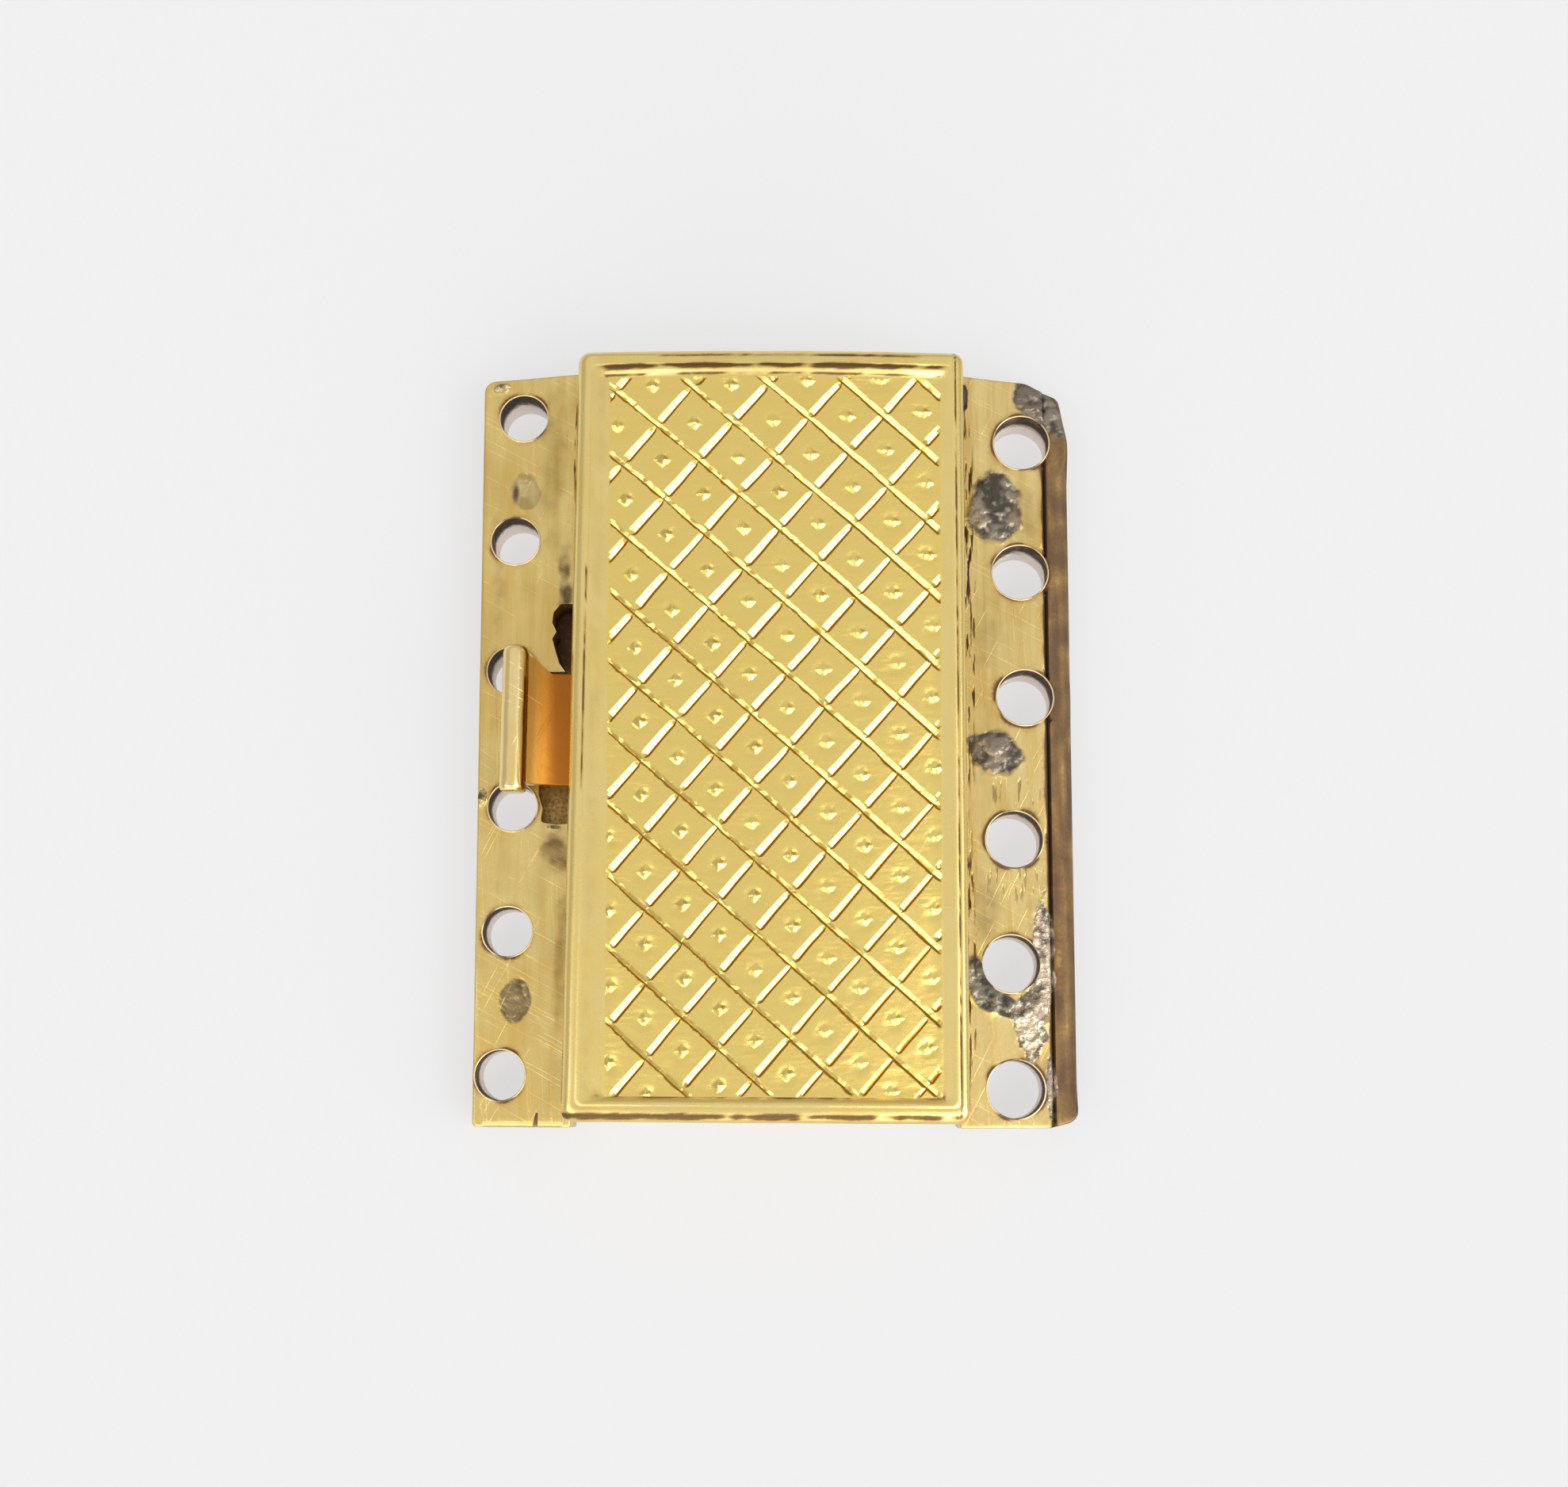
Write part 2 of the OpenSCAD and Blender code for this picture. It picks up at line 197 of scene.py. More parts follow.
class Tree:
    """Short calls for the nodes that the finishes and shapes share."""

    def __init__(self, tree: bpy.types.NodeTree) -> None:
        """Keeps the Blender tree that the calls add to."""
        self.tree = tree

    def node(self, kind: str, values: dict[str, object] | None = None, **settings: object) -> bpy.types.Node:
        """Adds a node.

        Args:
            kind: The node's Blender type.
            values: What goes into its named inputs.
            settings: Its properties.

        Returns:
            The new node.
        """
        node = self.tree.nodes.new(kind)
        for name, value in settings.items():
            setattr(node, name, value)
        for name, value in (values or {}).items():
            put(self.tree, node.inputs[name], value)
        return node

    def out(self, node: bpy.types.Node, name: str | int = 0) -> Field:
        """Gives a node's output as a field."""
        return Field(self.tree, node.outputs[name])

    def make(self, kind: str, values: dict[str, object] | None = None, **settings: object) -> Field:
        """Adds a node as node() does, and gives its first output."""
        return self.out(self.node(kind, values, **settings))

    def end(self, kind: str, name: str, value: Field) -> None:
        """Adds an output node and links a value to the named input."""
        self.node(kind, {name: value})

    def place(self) -> Field:
        """Gives the object coordinates in millimetres."""
        return self.stretch(self.out(self.node("ShaderNodeTexCoord"), "Object"), (1 / MM,) * 3)

    def bump(self, height: Field) -> Field:
        """Turns a height in millimetres into a normal."""
        node = self.node("ShaderNodeBump", {"Height": height})
        node.inputs["Strength"].default_value = 1.0
        node.inputs["Distance"].default_value = MM
        return self.out(node)

    def attribute(self, name: str) -> Field:
        """Reads one of the mesh's own attributes."""
        return self.out(self.node("ShaderNodeAttribute", attribute_name=name), "Fac")

    def vector(self, x: Field | float, y: Field | float, z: Field | float = 0.0) -> Field:
        """Joins three numbers to a vector."""
        return self.make("ShaderNodeCombineXYZ", {"X": x, "Y": y, "Z": z})

    def parts(self, vector: Field) -> tuple[Field, Field, Field]:
        """Splits a vector into its three numbers."""
        node = self.node("ShaderNodeSeparateXYZ", {"Vector": vector})
        return self.out(node, 0), self.out(node, 1), self.out(node, 2)

    def stretch(self, vector: Field, factors: Point3) -> Field:
        """Multiplies a vector by three factors."""
        node = self.node("ShaderNodeVectorMath", operation="MULTIPLY")
        put(self.tree, node.inputs[0], vector)
        put(self.tree, node.inputs[1], factors)
        return self.out(node)

    def noise(self, vector: Field, scale: float, detail: float = 2.0, rough: float = 0.5) -> Field:
        """Adds a noise texture, whose values lie round 0.5."""
        values = {"Vector": vector, "Scale": scale, "Detail": detail, "Roughness": rough}
        return self.make("ShaderNodeTexNoise", values)

    def random(self, vector: Field) -> tuple[Field, Field, Field]:
        """Gives three random numbers from 0 to 1 that depend on the vector alone."""
        node = self.node("ShaderNodeTexWhiteNoise", {"Vector": vector}, noise_dimensions="3D")
        return self.parts(self.out(node, "Color"))

    def blend(self, share: Field | float, first: object, second: object) -> Field:
        """Mixes two colours."""
        node = self.node("ShaderNodeMix", data_type="RGBA", clamp_factor=True)
        for index, value in ((0, share), (6, first), (7, second)):
            plain = isinstance(value, tuple)
            put(self.tree, node.inputs[index], (*value, 1.0) if plain else value)
        return self.out(node, 2)


def emptied(owner: bpy.types.Material | bpy.types.World) -> Tree:
    """Gives the node tree of a new material or world, emptied."""
    owner.use_nodes = True
    owner.node_tree.nodes.clear()
    return Tree(owner.node_tree)


def shape_tree(
    name: str, given: str, sizes: Sequence[str], made: str, seed: str | None = None
) -> tuple[Tree, dict[str, Field]]:
    """Starts a Geometry Nodes tree with named inputs.

    Args:
        name: The tree's name.
        given: The name of the mesh that goes in.
        sizes: The names of its sizes.
        made: The name of the mesh that comes out.
        seed: The name of its seed, if it has one.

    Returns:
        The tree and its inputs by name, with the finish as the last one.
    """
    group = bpy.data.node_groups.new(name, "GeometryNodeTree")
    rows = [(given, "Geometry"), *((size, "Float") for size in sizes)]
    rows += [(seed, "Int")] if seed else []
    for row, kind in [*rows, ("Finish", "Material")]:
        group.interface.new_socket(row, in_out="INPUT", socket_type="NodeSocket" + kind)
    group.interface.new_socket(made, in_out="OUTPUT", socket_type="NodeSocketGeometry")
    t = Tree(group)
    inputs = t.node("NodeGroupInput")
    return t, {s.name: t.out(inputs, s.name) for s in inputs.outputs if s.name}


def dressed(t: Tree, made: str, geometry: Field, finish: Field) -> bpy.types.NodeTree:
    """Ends a Geometry Nodes tree: realizes its instances and sets their material.

    Args:
        t: The tree.
        made: The name of the mesh that comes out.
        geometry: What it has made.
        finish: Its material.

    Returns:
        The finished Blender tree.
    """
    real = t.make("GeometryNodeRealizeInstances", {"Geometry": geometry})
    t.end("NodeGroupOutput", made, t.make("GeometryNodeSetMaterial", {"Geometry": real, "Material": finish}))
    return t.tree


def surface_shader(t: Tree, values: dict[str, object]) -> None:
    """Adds the surface's shader with the given inputs and links it to the material's output."""
    t.end("ShaderNodeOutputMaterial", "Surface", t.make("ShaderNodeBsdfPrincipled", values))


def waves(x: float, y: float, fine: Point, seed: float) -> float:
    """Gives smooth noise between about -1 and 1 at a place.

    Args:
        x: The place along X, in millimetres.
        y: The place along Y.
        fine: How fine it is along X and Y, per millimetre.
        seed: Which pattern it is.

    Returns:
        The noise.
    """
    return noise.noise(Vector((x * fine[0], y * fine[1], seed)))


# Finishes


class MarkKind(Enum):
    """What a mark on the gold is made of."""

    STAIN = "soft stain"
    SOLDER = "smooth grey solder"
    CRUMBS = "rough solder"
    DASHES = "short dark lines along Y"


@dataclass(frozen=True)
class Mark:
    """A stain, line or drop of solder on a bar.

    Attributes:
        place: Its middle, in millimetres along X and Y.
        reach: Its half sizes along its own two axes, in millimetres.
        colour: Its colour.
        kind: What it is made of.
        turn: How far it is turned, in degrees.
        share: How much of that colour covers the gold.
        rise: How high it stands, in millimetres.
        ragged: How far its edge wanders, in shares of its reach.
    """

    place: Point
    reach: Point
    colour: Colour
    kind: MarkKind = MarkKind.STAIN
    turn: float = 0.0
    share: float = 1.0
    rise: float = 0.0
    ragged: float = 0.35

    def axes(self, x: "Field | float", y: "Field | float") -> "tuple[Field | float, Field | float]":
        """Gives a place along and across the mark, in shares of its reach."""
        cosine, sine = math.cos(math.radians(self.turn)), math.sin(math.radians(self.turn))
        dx, dy = x - self.place[0], y - self.place[1]
        return (dx * cosine + dy * sine) / self.reach[0], (dy * cosine - dx * sine) / self.reach[1]

    def height(self, x: float, y: float) -> float:
        """Gives the mark's height above the sheet at x, y, in millimetres.

        Args:
            x: The place along X.
            y: The place along Y.

        Returns:
            The height.
        """
        if not self.rise:
            return 0.0
        wander = waves(x, y, (2.2, 2.2), 3.0) * self.ragged
        within = max(0.0, 1.0 - math.hypot(*self.axes(x, y)) + wander)
        return self.rise * min(1.0, within * 1.8) * (1.0 + 0.5 * waves(x, y, (5, 5), 8.0))


@dataclass(frozen=True)
class GoldFinish:
    """Worn gold with soft clouds, brushed streaks, scratches and a brown film in its recesses, which on some
    pieces is painted shade.

    Attributes:
        name: The material's name.
        clean: The colour where the gold is clean.
        deep: The colour in the darker clouds and streaks.
        film_and_shade: The colour of the film in recesses, and of the painted shade and dark reflections on
            some pieces.
        film_and_shade_dull: How far the film hides the metal's shine.
        film_and_shade_speckle: How far fine noise breaks the film up.
        roughness: The middle roughness.
        streaks: Streaks' fineness along X, Y and Z, per millimetre.
        streak_share: How much the streaks darken.
        grain: Height of the fine grain, in millimetres.
        ripple: Height of the short ripples along X, in millimetres.
        scratches: How strongly scratches show.
        marks: Stains, dents and solder.
    """

    name: str
    clean: Colour
    deep: Colour
    film_and_shade: Colour = (0.11, 0.055, 0.018)
    film_and_shade_dull: float = 0.5
    film_and_shade_speckle: float = 1.4
    roughness: float = 0.3
    streaks: Point3 = (3.0, 0.35, 1.0)
    streak_share: float = 0.5
    grain: float = 0.0025
    ripple: float = 0.0
    scratches: float = 0.5
    marks: tuple[Mark, ...] = ()

    def material(self) -> bpy.types.Material:
        """Builds the material.

        Returns:
            The material.
        """
        made = bpy.data.materials.new(self.name)
        t = emptied(made)
        place = t.place()
        clouds = t.noise(place, 0.45, 3.0, 0.6).step(0.36, 0.66)
        streaks = t.noise(t.stretch(place, self.streaks), 1.0, 4.0, 0.65).step(0.34, 0.7)
        fine = t.noise(place, 9.0, 3.0, 0.6)
        film_and_shade = self.film_and_shade_share(t, fine)
        tone = (clouds * 0.45 + streaks * self.streak_share).clamp()
        colour = t.blend(tone, self.clean, self.deep)
        # The film colour is patina on some pieces and painted shade or painted dark reflection on others: the
        # plate's cuts, the latch's strip, the bar's notches.
        thin = tuple(gold * film_part**THIN_SHARE for gold, film_part in zip(self.clean, self.film_and_shade))
        tarnish_and_shade = t.blend(film_and_shade.step(THIN_SHARE, 1.0), thin, self.film_and_shade)
        colour = t.blend((film_and_shade * 1.5).clamp() * 0.95, colour, tarnish_and_shade)
        height = (fine - 0.5) * (self.grain * 2.0) + (streaks - 0.5) * (self.grain * 0.8)
        if self.ripple:
            ripples = t.noise(t.stretch(place, (1.2, 4.5, 1.0)), 1.0, 2.0) - 0.5
            height = height + ripples * t.noise(place, 0.9, 2.0).step(0.4, 0.62) * self.ripple
        scratch = self.scratch_share(t, place)
        height = height - scratch * 0.004
        polish = t.attribute("polish")
        rough = tone * 0.1 + (fine - 0.5) * 0.12 + film_and_shade * 0.25 + self.roughness - 0.05
        rough = rough * (1.0 - polish * 0.6)
        height = height * (1.0 - polish * 0.7)
        dull = film_and_shade * self.film_and_shade_dull
        colour, rough, dull, height = self.with_marks(t, place, colour, rough, dull, height)
        surface_shader(t, {
            "Base Color": colour,
            "Metallic": (1.0 - dull).clamp(),
            "Roughness": (rough + scratch * 0.1).clamp(0.07, 0.8),
            "Normal": t.bump(height),
        })
        return made

    def film_and_shade_share(self, t: Tree, fine: Field) -> Field:
        """Reads how much film and painted shade the mesh's own patina attribute asks for, broken up by fine
        noise.
        """
        patina = t.attribute("patina")
        return (patina * (fine * self.film_and_shade_speckle + 1.0 - self.film_and_shade_speckle / 2)).clamp()

    def scratch_share(self, t: Tree, place: Field) -> Field:
        """Draws fine scratches, long in two slanted directions.

        Args:
            t: The material's tree.
            place: The object coordinates in millimetres.

        Returns:
            How strongly scratches show.
        """
        share: Field | float = 0.0
        for turn, threshold in ((0.5, 0.66), (-1.1, 0.69), (1.5, 0.665)):
            turning = {"Vector": place, "Angle": turn}
            turned = t.make("ShaderNodeVectorRotate", turning, rotation_type="Z_AXIS")
            lines = t.noise(t.stretch(turned, (0.22, 13.0, 0.22)), 1.0, 1.0, 0.4)
            share = lines.step(threshold, threshold + 0.035) + share
        return share * self.scratches

    def with_marks(
        self, t: Tree, place: Field, colour: Field, rough: Field, dull: Field, height: Field
    ) -> tuple[Field, Field, Field, Field]:
        """Lays the marks over the finish, with painted glints and painted shading on the solder.

        Args:
            t: The material's tree.
            place: The object coordinates in millimetres.
            colour: The colour so far.
            rough: The roughness so far.
            dull: How far the surface is from metal so far.
            height: The bump height so far, in millimetres.

        Returns:
            The colour, roughness, dullness and height with the marks.
        """
        if not self.marks:
            return colour, rough, dull, height
        x, y, _ = t.parts(place)
        wander = t.noise(place, 1.2, 2.0) - 0.5
        clots = t.noise(place, 1.9, 1.0)
        lumps = t.noise(place, 2.6, 2.0)
        crumbs = t.noise(place, 4.5, 3.0)
        dashes = t.noise(t.stretch(place, (9.0, 0.9, 1.0)), 1.0, 2.0).step(0.54, 0.62)
        crack = (1.0 - abs(t.noise(place, 0.9, 2.0) - 0.5) * 60.0).clamp()
        for mark in self.marks:
            along, across = mark.axes(x, y)
            far = (along * along + across * across).root() + wander * (mark.ragged * 2.4)
            deep, pale = (tuple(min(0.9, f * c) for c in mark.colour) for f in (0.25, 2.2))
            if mark.kind is MarkKind.STAIN:
                share = far.fade(0.3, 1.1) * (clots * 1.4).clamp() * mark.share
                tint = t.blend(crumbs, mark.colour, deep)
            elif mark.kind is MarkKind.DASHES:
                share = far.fade(0.6, 1.0) * dashes * mark.share
                tint = t.blend(clots, mark.colour, deep)
                height = height - share * 0.02
            else:
                share = far.fade(0.82, 1.0) * mark.share
                # Solder and crumbs: the pale patches are painted glints, the clots' dark and light are the
                # solder's tone and painted shading of its lumps, and the colour darkens towards the edge and
                # along cracks.
                if mark.kind is MarkKind.CRUMBS:
                    painted_glint, relief = crumbs.step(0.5, 0.66), (crumbs - 0.5) * 0.12
                else:
                    painted_glint, relief = lumps.step(0.54, 0.74), (lumps - 0.5) * 0.1 + (clots - 0.5) * 0.14
                tint = t.blend(clots.step(0.38, 0.58), deep, mark.colour)
                tint = t.blend(painted_glint * 0.7, tint, pale)
                tint = t.blend((far.step(0.6, 0.95) * 0.5 + crack * 0.35).clamp(), tint, deep)
                height = height + share * (relief - crack * 0.008)
                rough = rough + share * (SOLDER_ROUGHNESS - rough)
            colour = t.blend(share, colour, tint)
            dull = (dull + share * 0.35).clamp()
        return colour, rough, dull, height


# Shapes


def corner_arc(before: Vector, at: Vector, after: Vector, radius: float, steps: int) -> list[Vector]:
    """Rounds a corner of an outline.

    Args:
        before: The outline's point before the corner.
        at: The corner.
        after: The point after it.
        radius: The rounding's radius.
        steps: How many stretches the arc has.

    Returns:
        The arc's points.
    """
    if radius <= 0:
        return [at]
    u, v = (before - at).normalized(), (after - at).normalized()
    half = u.angle(v) / 2
    middle = at + (u + v).normalized() * radius / math.sin(half)
    start, end = (at + way * radius / math.tan(half) - middle for way in (u, v))
    turn = start.angle_signed(end)
    return [middle + Matrix.Rotation(-turn * k / steps, 2) @ start for k in range(steps + 1)]


def arc_points(middle: Point, radius: float, angles: Sequence[float]) -> list[Point]:
    """Gives points round a middle, at angles from the second axis towards the first."""
    return [(middle[0] + radius * math.sin(a), middle[1] + radius * math.cos(a)) for a in angles]


def outline(rows: Sequence[tuple[float, float, float]], steps: int = 6) -> list[Vector]:
    """Makes an outline from rows of x, y and corner radius."""
    points = [Vector(row[:2]) for row in rows]
    made: list[Vector] = []
    for k, row in enumerate(rows):
        made += corner_arc(points[k - 1], points[k], points[(k + 1) % len(rows)], row[2], steps)
    return made


def resample(points: Sequence[Vector], spacing: float) -> np.ndarray:
    """Divides a closed outline's long stretches.

    Args:
        points: The outline.
        spacing: The longest stretch that stays whole.

    Returns:
        The outline's points, one row each.
    """
    made = []
    for k, p in enumerate(points):
        q = points[(k + 1) % len(points)]
        if (q - p).length < 0.002:
            continue
        parts = max(1, math.ceil((q - p).length / spacing))
        made += [p.lerp(q, n / parts) for n in range(parts)]
    return np.array([tuple(p) for p in made])


def outward(points: np.ndarray) -> np.ndarray:
    """Gives each point's outward normal on an anticlockwise outline."""
    ahead = np.roll(points, -1, 0) - points
    ahead /= np.linalg.norm(ahead, axis=1, keepdims=True)
    mean = ahead + np.roll(ahead, 1, 0)
    mean /= np.linalg.norm(mean, axis=1, keepdims=True)
    return np.stack([mean[:, 1], -mean[:, 0]], 1)


def inside(points: np.ndarray, loop: np.ndarray) -> np.ndarray:
    """Says which points lie inside a closed loop.

    Args:
        points: The points, one row each.
        loop: The loop.

    Returns:
        True for each point inside.
    """
    x, y = points[:, :1], points[:, 1:]
    a, b = loop, np.roll(loop, -1, 0)
    spans = (a[:, 1] > y) != (b[:, 1] > y)
    rise = np.where(b[:, 1] == a[:, 1], 1e-12, b[:, 1] - a[:, 1])
    cross = (b[:, 0] - a[:, 0]) * (y - a[:, 1]) / rise + a[:, 0]
    return (spans & (x < cross)).sum(1) % 2 == 1


def clearance(points: np.ndarray, loop: np.ndarray) -> np.ndarray:
    """Gives each point's distance to the nearest point of a loop."""
    return np.sqrt(((points[:, None] - loop[None]) ** 2).sum(2)).min(1)


class MeshPlan:
    """Collects points in millimetres and faces, and turns them into a piece."""

    def __init__(self) -> None:
        """Starts empty."""
        self.points: list[Point3] = []
        self.faces: list[tuple[int, ...]] = []

    def ring(self, points: Sequence[Point3]) -> list[int]:
        """Adds points and gives their numbers."""
        first = len(self.points)
        self.points += [tuple(map(float, p)) for p in points]
        return list(range(first, first + len(points)))

    def band(self, lower: Sequence[int], upper: Sequence[int]) -> None:
        """Joins two rings of equal length with faces."""
        for k in range(len(lower)):
            n = (k + 1) % len(lower)
            self.faces.append((lower[k], lower[n], upper[n], upper[k]))

    def mesh(self, name: str) -> bpy.types.Mesh:
        """Makes the mesh in metres."""
        made = bpy.data.meshes.new(name)
        made.from_pydata([[c * MM for c in p] for p in self.points], [], self.faces)
        made.validate()
        return made


@contextmanager
def edited(mesh: bpy.types.Mesh) -> Iterator[bmesh.types.BMesh]:
    """Opens a mesh for editing and writes it back at the end."""
    shape = bmesh.new()
    shape.from_mesh(mesh)
    yield shape
    shape.to_mesh(mesh)
    shape.free()


def tidy_normals(mesh: bpy.types.Mesh) -> bpy.types.Mesh:
    """Merges doubled points and turns the faces outwards.

    Args:
        mesh: The mesh to work on.

    Returns:
        The same mesh.
    """
    with edited(mesh) as shape:
        bmesh.ops.remove_doubles(shape, verts=shape.verts, dist=MERGE_MM * MM)
        bmesh.ops.recalc_face_normals(shape, faces=shape.faces)
    return mesh


def smooth(mesh: bpy.types.Mesh, angle: float = 32.0) -> None:
    """Shades a mesh smooth, apart from edges that turn by more than the angle in degrees."""
    mesh.shade_smooth()
    mesh.set_sharp_from_angle(angle=math.radians(angle))


def paint(mesh: bpy.types.Mesh, share: Callable[[float, float, float], float]) -> None:
    """Writes the share of film and painted shade at each point of a mesh.

    Args:
        mesh: The mesh, in metres.
        share: Gives the share at a place in millimetres.
    """
    layer = mesh.attributes.get("patina") or mesh.attributes.new("patina", "FLOAT", "POINT")
    layer.data.foreach_set("value", [min(1.0, max(0.0, share(*(v.co / MM)))) for v in mesh.vertices])


def settle(
    mesh: bpy.types.Mesh, finish: bpy.types.Material, body: Body, nodes: Sequence[str] = ()
) -> bpy.types.Object:
    """Puts a finished mesh into the scene as a piece of the clasp.

    Args:
        mesh: The piece's mesh, in metres and in place.
        finish: Its material.
        body: The body that it moves with.
        nodes: The CAD nodes that it stands for.

    Returns:
        The piece.
    """
    if not mesh.materials:
        mesh.materials.append(finish)
    piece = linked(mesh.name, mesh)
    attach(piece, body.value)
    if nodes:
        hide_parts(*nodes)
    mesh.calc_loop_triangles()
    log.info("%s: %d triangles", mesh.name, len(mesh.loop_triangles))
    return piece


def linked(name: str, data: bpy.types.ID) -> bpy.types.Object:
    """Puts a mesh, camera or light into the scene as an object of that name."""
    thing = bpy.data.objects.new(name, data)
    bpy.context.scene.collection.objects.link(thing)
    return thing


def evaluated(holder: bpy.types.Object) -> bpy.types.Mesh:
    """Gives what an object's modifiers make of its mesh as a plain mesh."""
    depsgraph = bpy.context.evaluated_depsgraph_get()
    return bpy.data.meshes.new_from_object(
        holder.evaluated_get(depsgraph), preserve_all_data_layers=True, depsgraph=depsgraph
    )


def grown(
    name: str, group: bpy.types.NodeTree, sizes: dict[str, object], base: bpy.types.Mesh
) -> bpy.types.Mesh:
    """Runs a Geometry Nodes tree and keeps what it makes as a plain mesh.

    Args:
        name: The new mesh's name.
        group: The tree.
        sizes: The values of its named inputs.
        base: The mesh that the tree starts from.

    Returns:
        The mesh.
    """
    holder = linked(name + "_holder", base)
    modifier = holder.modifiers.new(name, "NODES")
    modifier.node_group = group
    sockets = {s.name: s.identifier for s in group.interface.items_tree if s.in_out == "INPUT"}
    for size, value in sizes.items():
        modifier[sockets[size]] = value
    made = evaluated(holder)
    made.name = name
    made.materials.clear()
    made.polygons.foreach_set("material_index", [0] * len(made.polygons))
    bpy.data.objects.remove(holder)
    return made


def carved(mesh: bpy.types.Mesh, tool: bpy.types.Mesh, operation: str = "DIFFERENCE") -> bpy.types.Mesh:
    """Cuts a mesh with another one, or joins the two.

    Args:
        mesh: The mesh to work on.
        tool: The other mesh.
        operation: DIFFERENCE or UNION.

    Returns:
        The new mesh.
    """
    holder, cutter = linked("carved_holder", mesh), linked("carved_tool", tool)
    modifier = holder.modifiers.new("carve", "BOOLEAN")
    modifier.operation = operation
    modifier.solver = "EXACT"
    modifier.object = cutter
    made = evaluated(holder)
    for thing in (holder, cutter):
        bpy.data.objects.remove(thing)
    name = mesh.name
    bpy.data.meshes.remove(mesh)
    made.name = name
    return made


def block(low: Point3, high: Point3) -> bpy.types.Mesh:
    """Makes a box.

    Args:
        low: Its lowest corner, in millimetres.
        high: Its highest corner.

    Returns:
        The mesh, in metres.
    """
    made = bpy.data.meshes.new("block")
    size = Vector(high) - Vector(low)
    with edited(made) as shape:
        bmesh.ops.create_cube(shape, size=1.0)
        for v in shape.verts:
            v.co = Vector(low) + Vector(((v.co[k] + 0.5) * size[k] for k in range(3)))
            v.co *= MM
    return made


def tube(name: str, rings: Sequence[Sequence[Point3]]) -> bpy.types.Mesh:
    """Joins rings of points in a row to a mesh that is closed at both ends.

    Args:
        name: The mesh's name.
        rings: Its rings, in millimetres, all equally long.

    Returns:
        The mesh, in metres.
    """
    plan = MeshPlan()
    numbers = [plan.ring(points) for points in rings]
    for lower, upper in zip(numbers, numbers[1:]):
        plan.band(lower, upper)
    plan.faces += [tuple(reversed(numbers[0])), tuple(numbers[-1])]
    return plan.mesh(name)


def prism(rows: Sequence[Point3], low: float, high: float) -> bpy.types.Mesh:
    """Makes an upright prism from rows of x, y and corner radius, in millimetres."""
    points = outline(rows, 4)
    return tidy_normals(tube("prism", [[(p.x, p.y, z) for p in points] for z in (low, high)]))


def swept(name: str, profile: Sequence[Point], low: float, high: float, round_mm: float) -> bpy.types.Mesh:
    """Stretches a profile in X and Z along Y, with rounded long and end edges.

    Args:
        name: The mesh's name.
        profile: The profile's points, in millimetres.
        low: Where it starts along Y.
        high: Where it ends along Y.
        round_mm: The rounding of its sharp edges.

    Returns:
        The mesh, in metres.
    """
    made = tube(name, [[(x, y, z) for x, z in profile] for y in (low, high)])
    with edited(made) as shape:
        bmesh.ops.recalc_face_normals(shape, faces=shape.faces)
        sharp = [e for e in shape.edges if e.calc_face_angle(0.0) > math.radians(40)]
        bmesh.ops.bevel(
            shape, geom=sharp, offset=round_mm * MM, segments=3, profile=0.5, affect="EDGES",
            clamp_overlap=True,
        )
    return made


# Sub-assemblies


@dataclass
class Dome:
    """The clasp's domed top, an arc across X.

    Attributes:
        half_w: Half the case's width.
        edge: Its height at the long edges.
        crown: How much higher its middle is.
    """

    half_w: float
    edge: float
    crown: float

    @property
    def radius(self) -> float:
        """The arc's radius."""
        return (self.half_w**2 + self.crown**2) / (2 * self.crown)

    def height(self, x: float, drop: float = 0.0) -> float:
        """Gives the top's height at x, lowered by drop."""
        radius = self.radius - drop
        return self.edge + self.crown - self.radius + math.sqrt(radius * radius - x * x)


@dataclass
class PanelOutline:
    """The four-sided field of the engraved panel, a little narrower at its near end.

    Attributes:
        left_far: Its left edge at the far end.
        left_near: Its left edge at the near end.
        right_far: Its right edge at the far end.
        right_near: Its right edge at the near end.
        near: Its near edge.
        far: Its far edge.
    """

    left_far: float
    left_near: float
    right_far: float
    right_near: float
    near: float
    far: float

    def corners(self, grow: Sequence[float] = (0.0, 0.0, 0.0, 0.0)) -> list[Point]:
        """Gives its corners from the near left one on, anticlockwise.

        Args:
            grow: How far it is grown on its left, right, far and near sides.

        Returns:
            Four points in millimetres.
        """
        left, right, far, near = grow
        return [
            (self.left_near - left, self.near - near),
            (self.right_near + right, self.near - near),
            (self.right_far + right, self.far + far),
            (self.left_far - left, self.far + far),
        ]


@dataclass(frozen=True)
class Cut:
    """The section of a graver's cut, in millimetres across its line.

    Attributes:
        start: Where its slope starts.
        bottom: Where it is deepest.
        end: Where its other wall ends.
        depth: How deep it is.
    """

    start: float
    bottom: float
    end: float
    depth: float


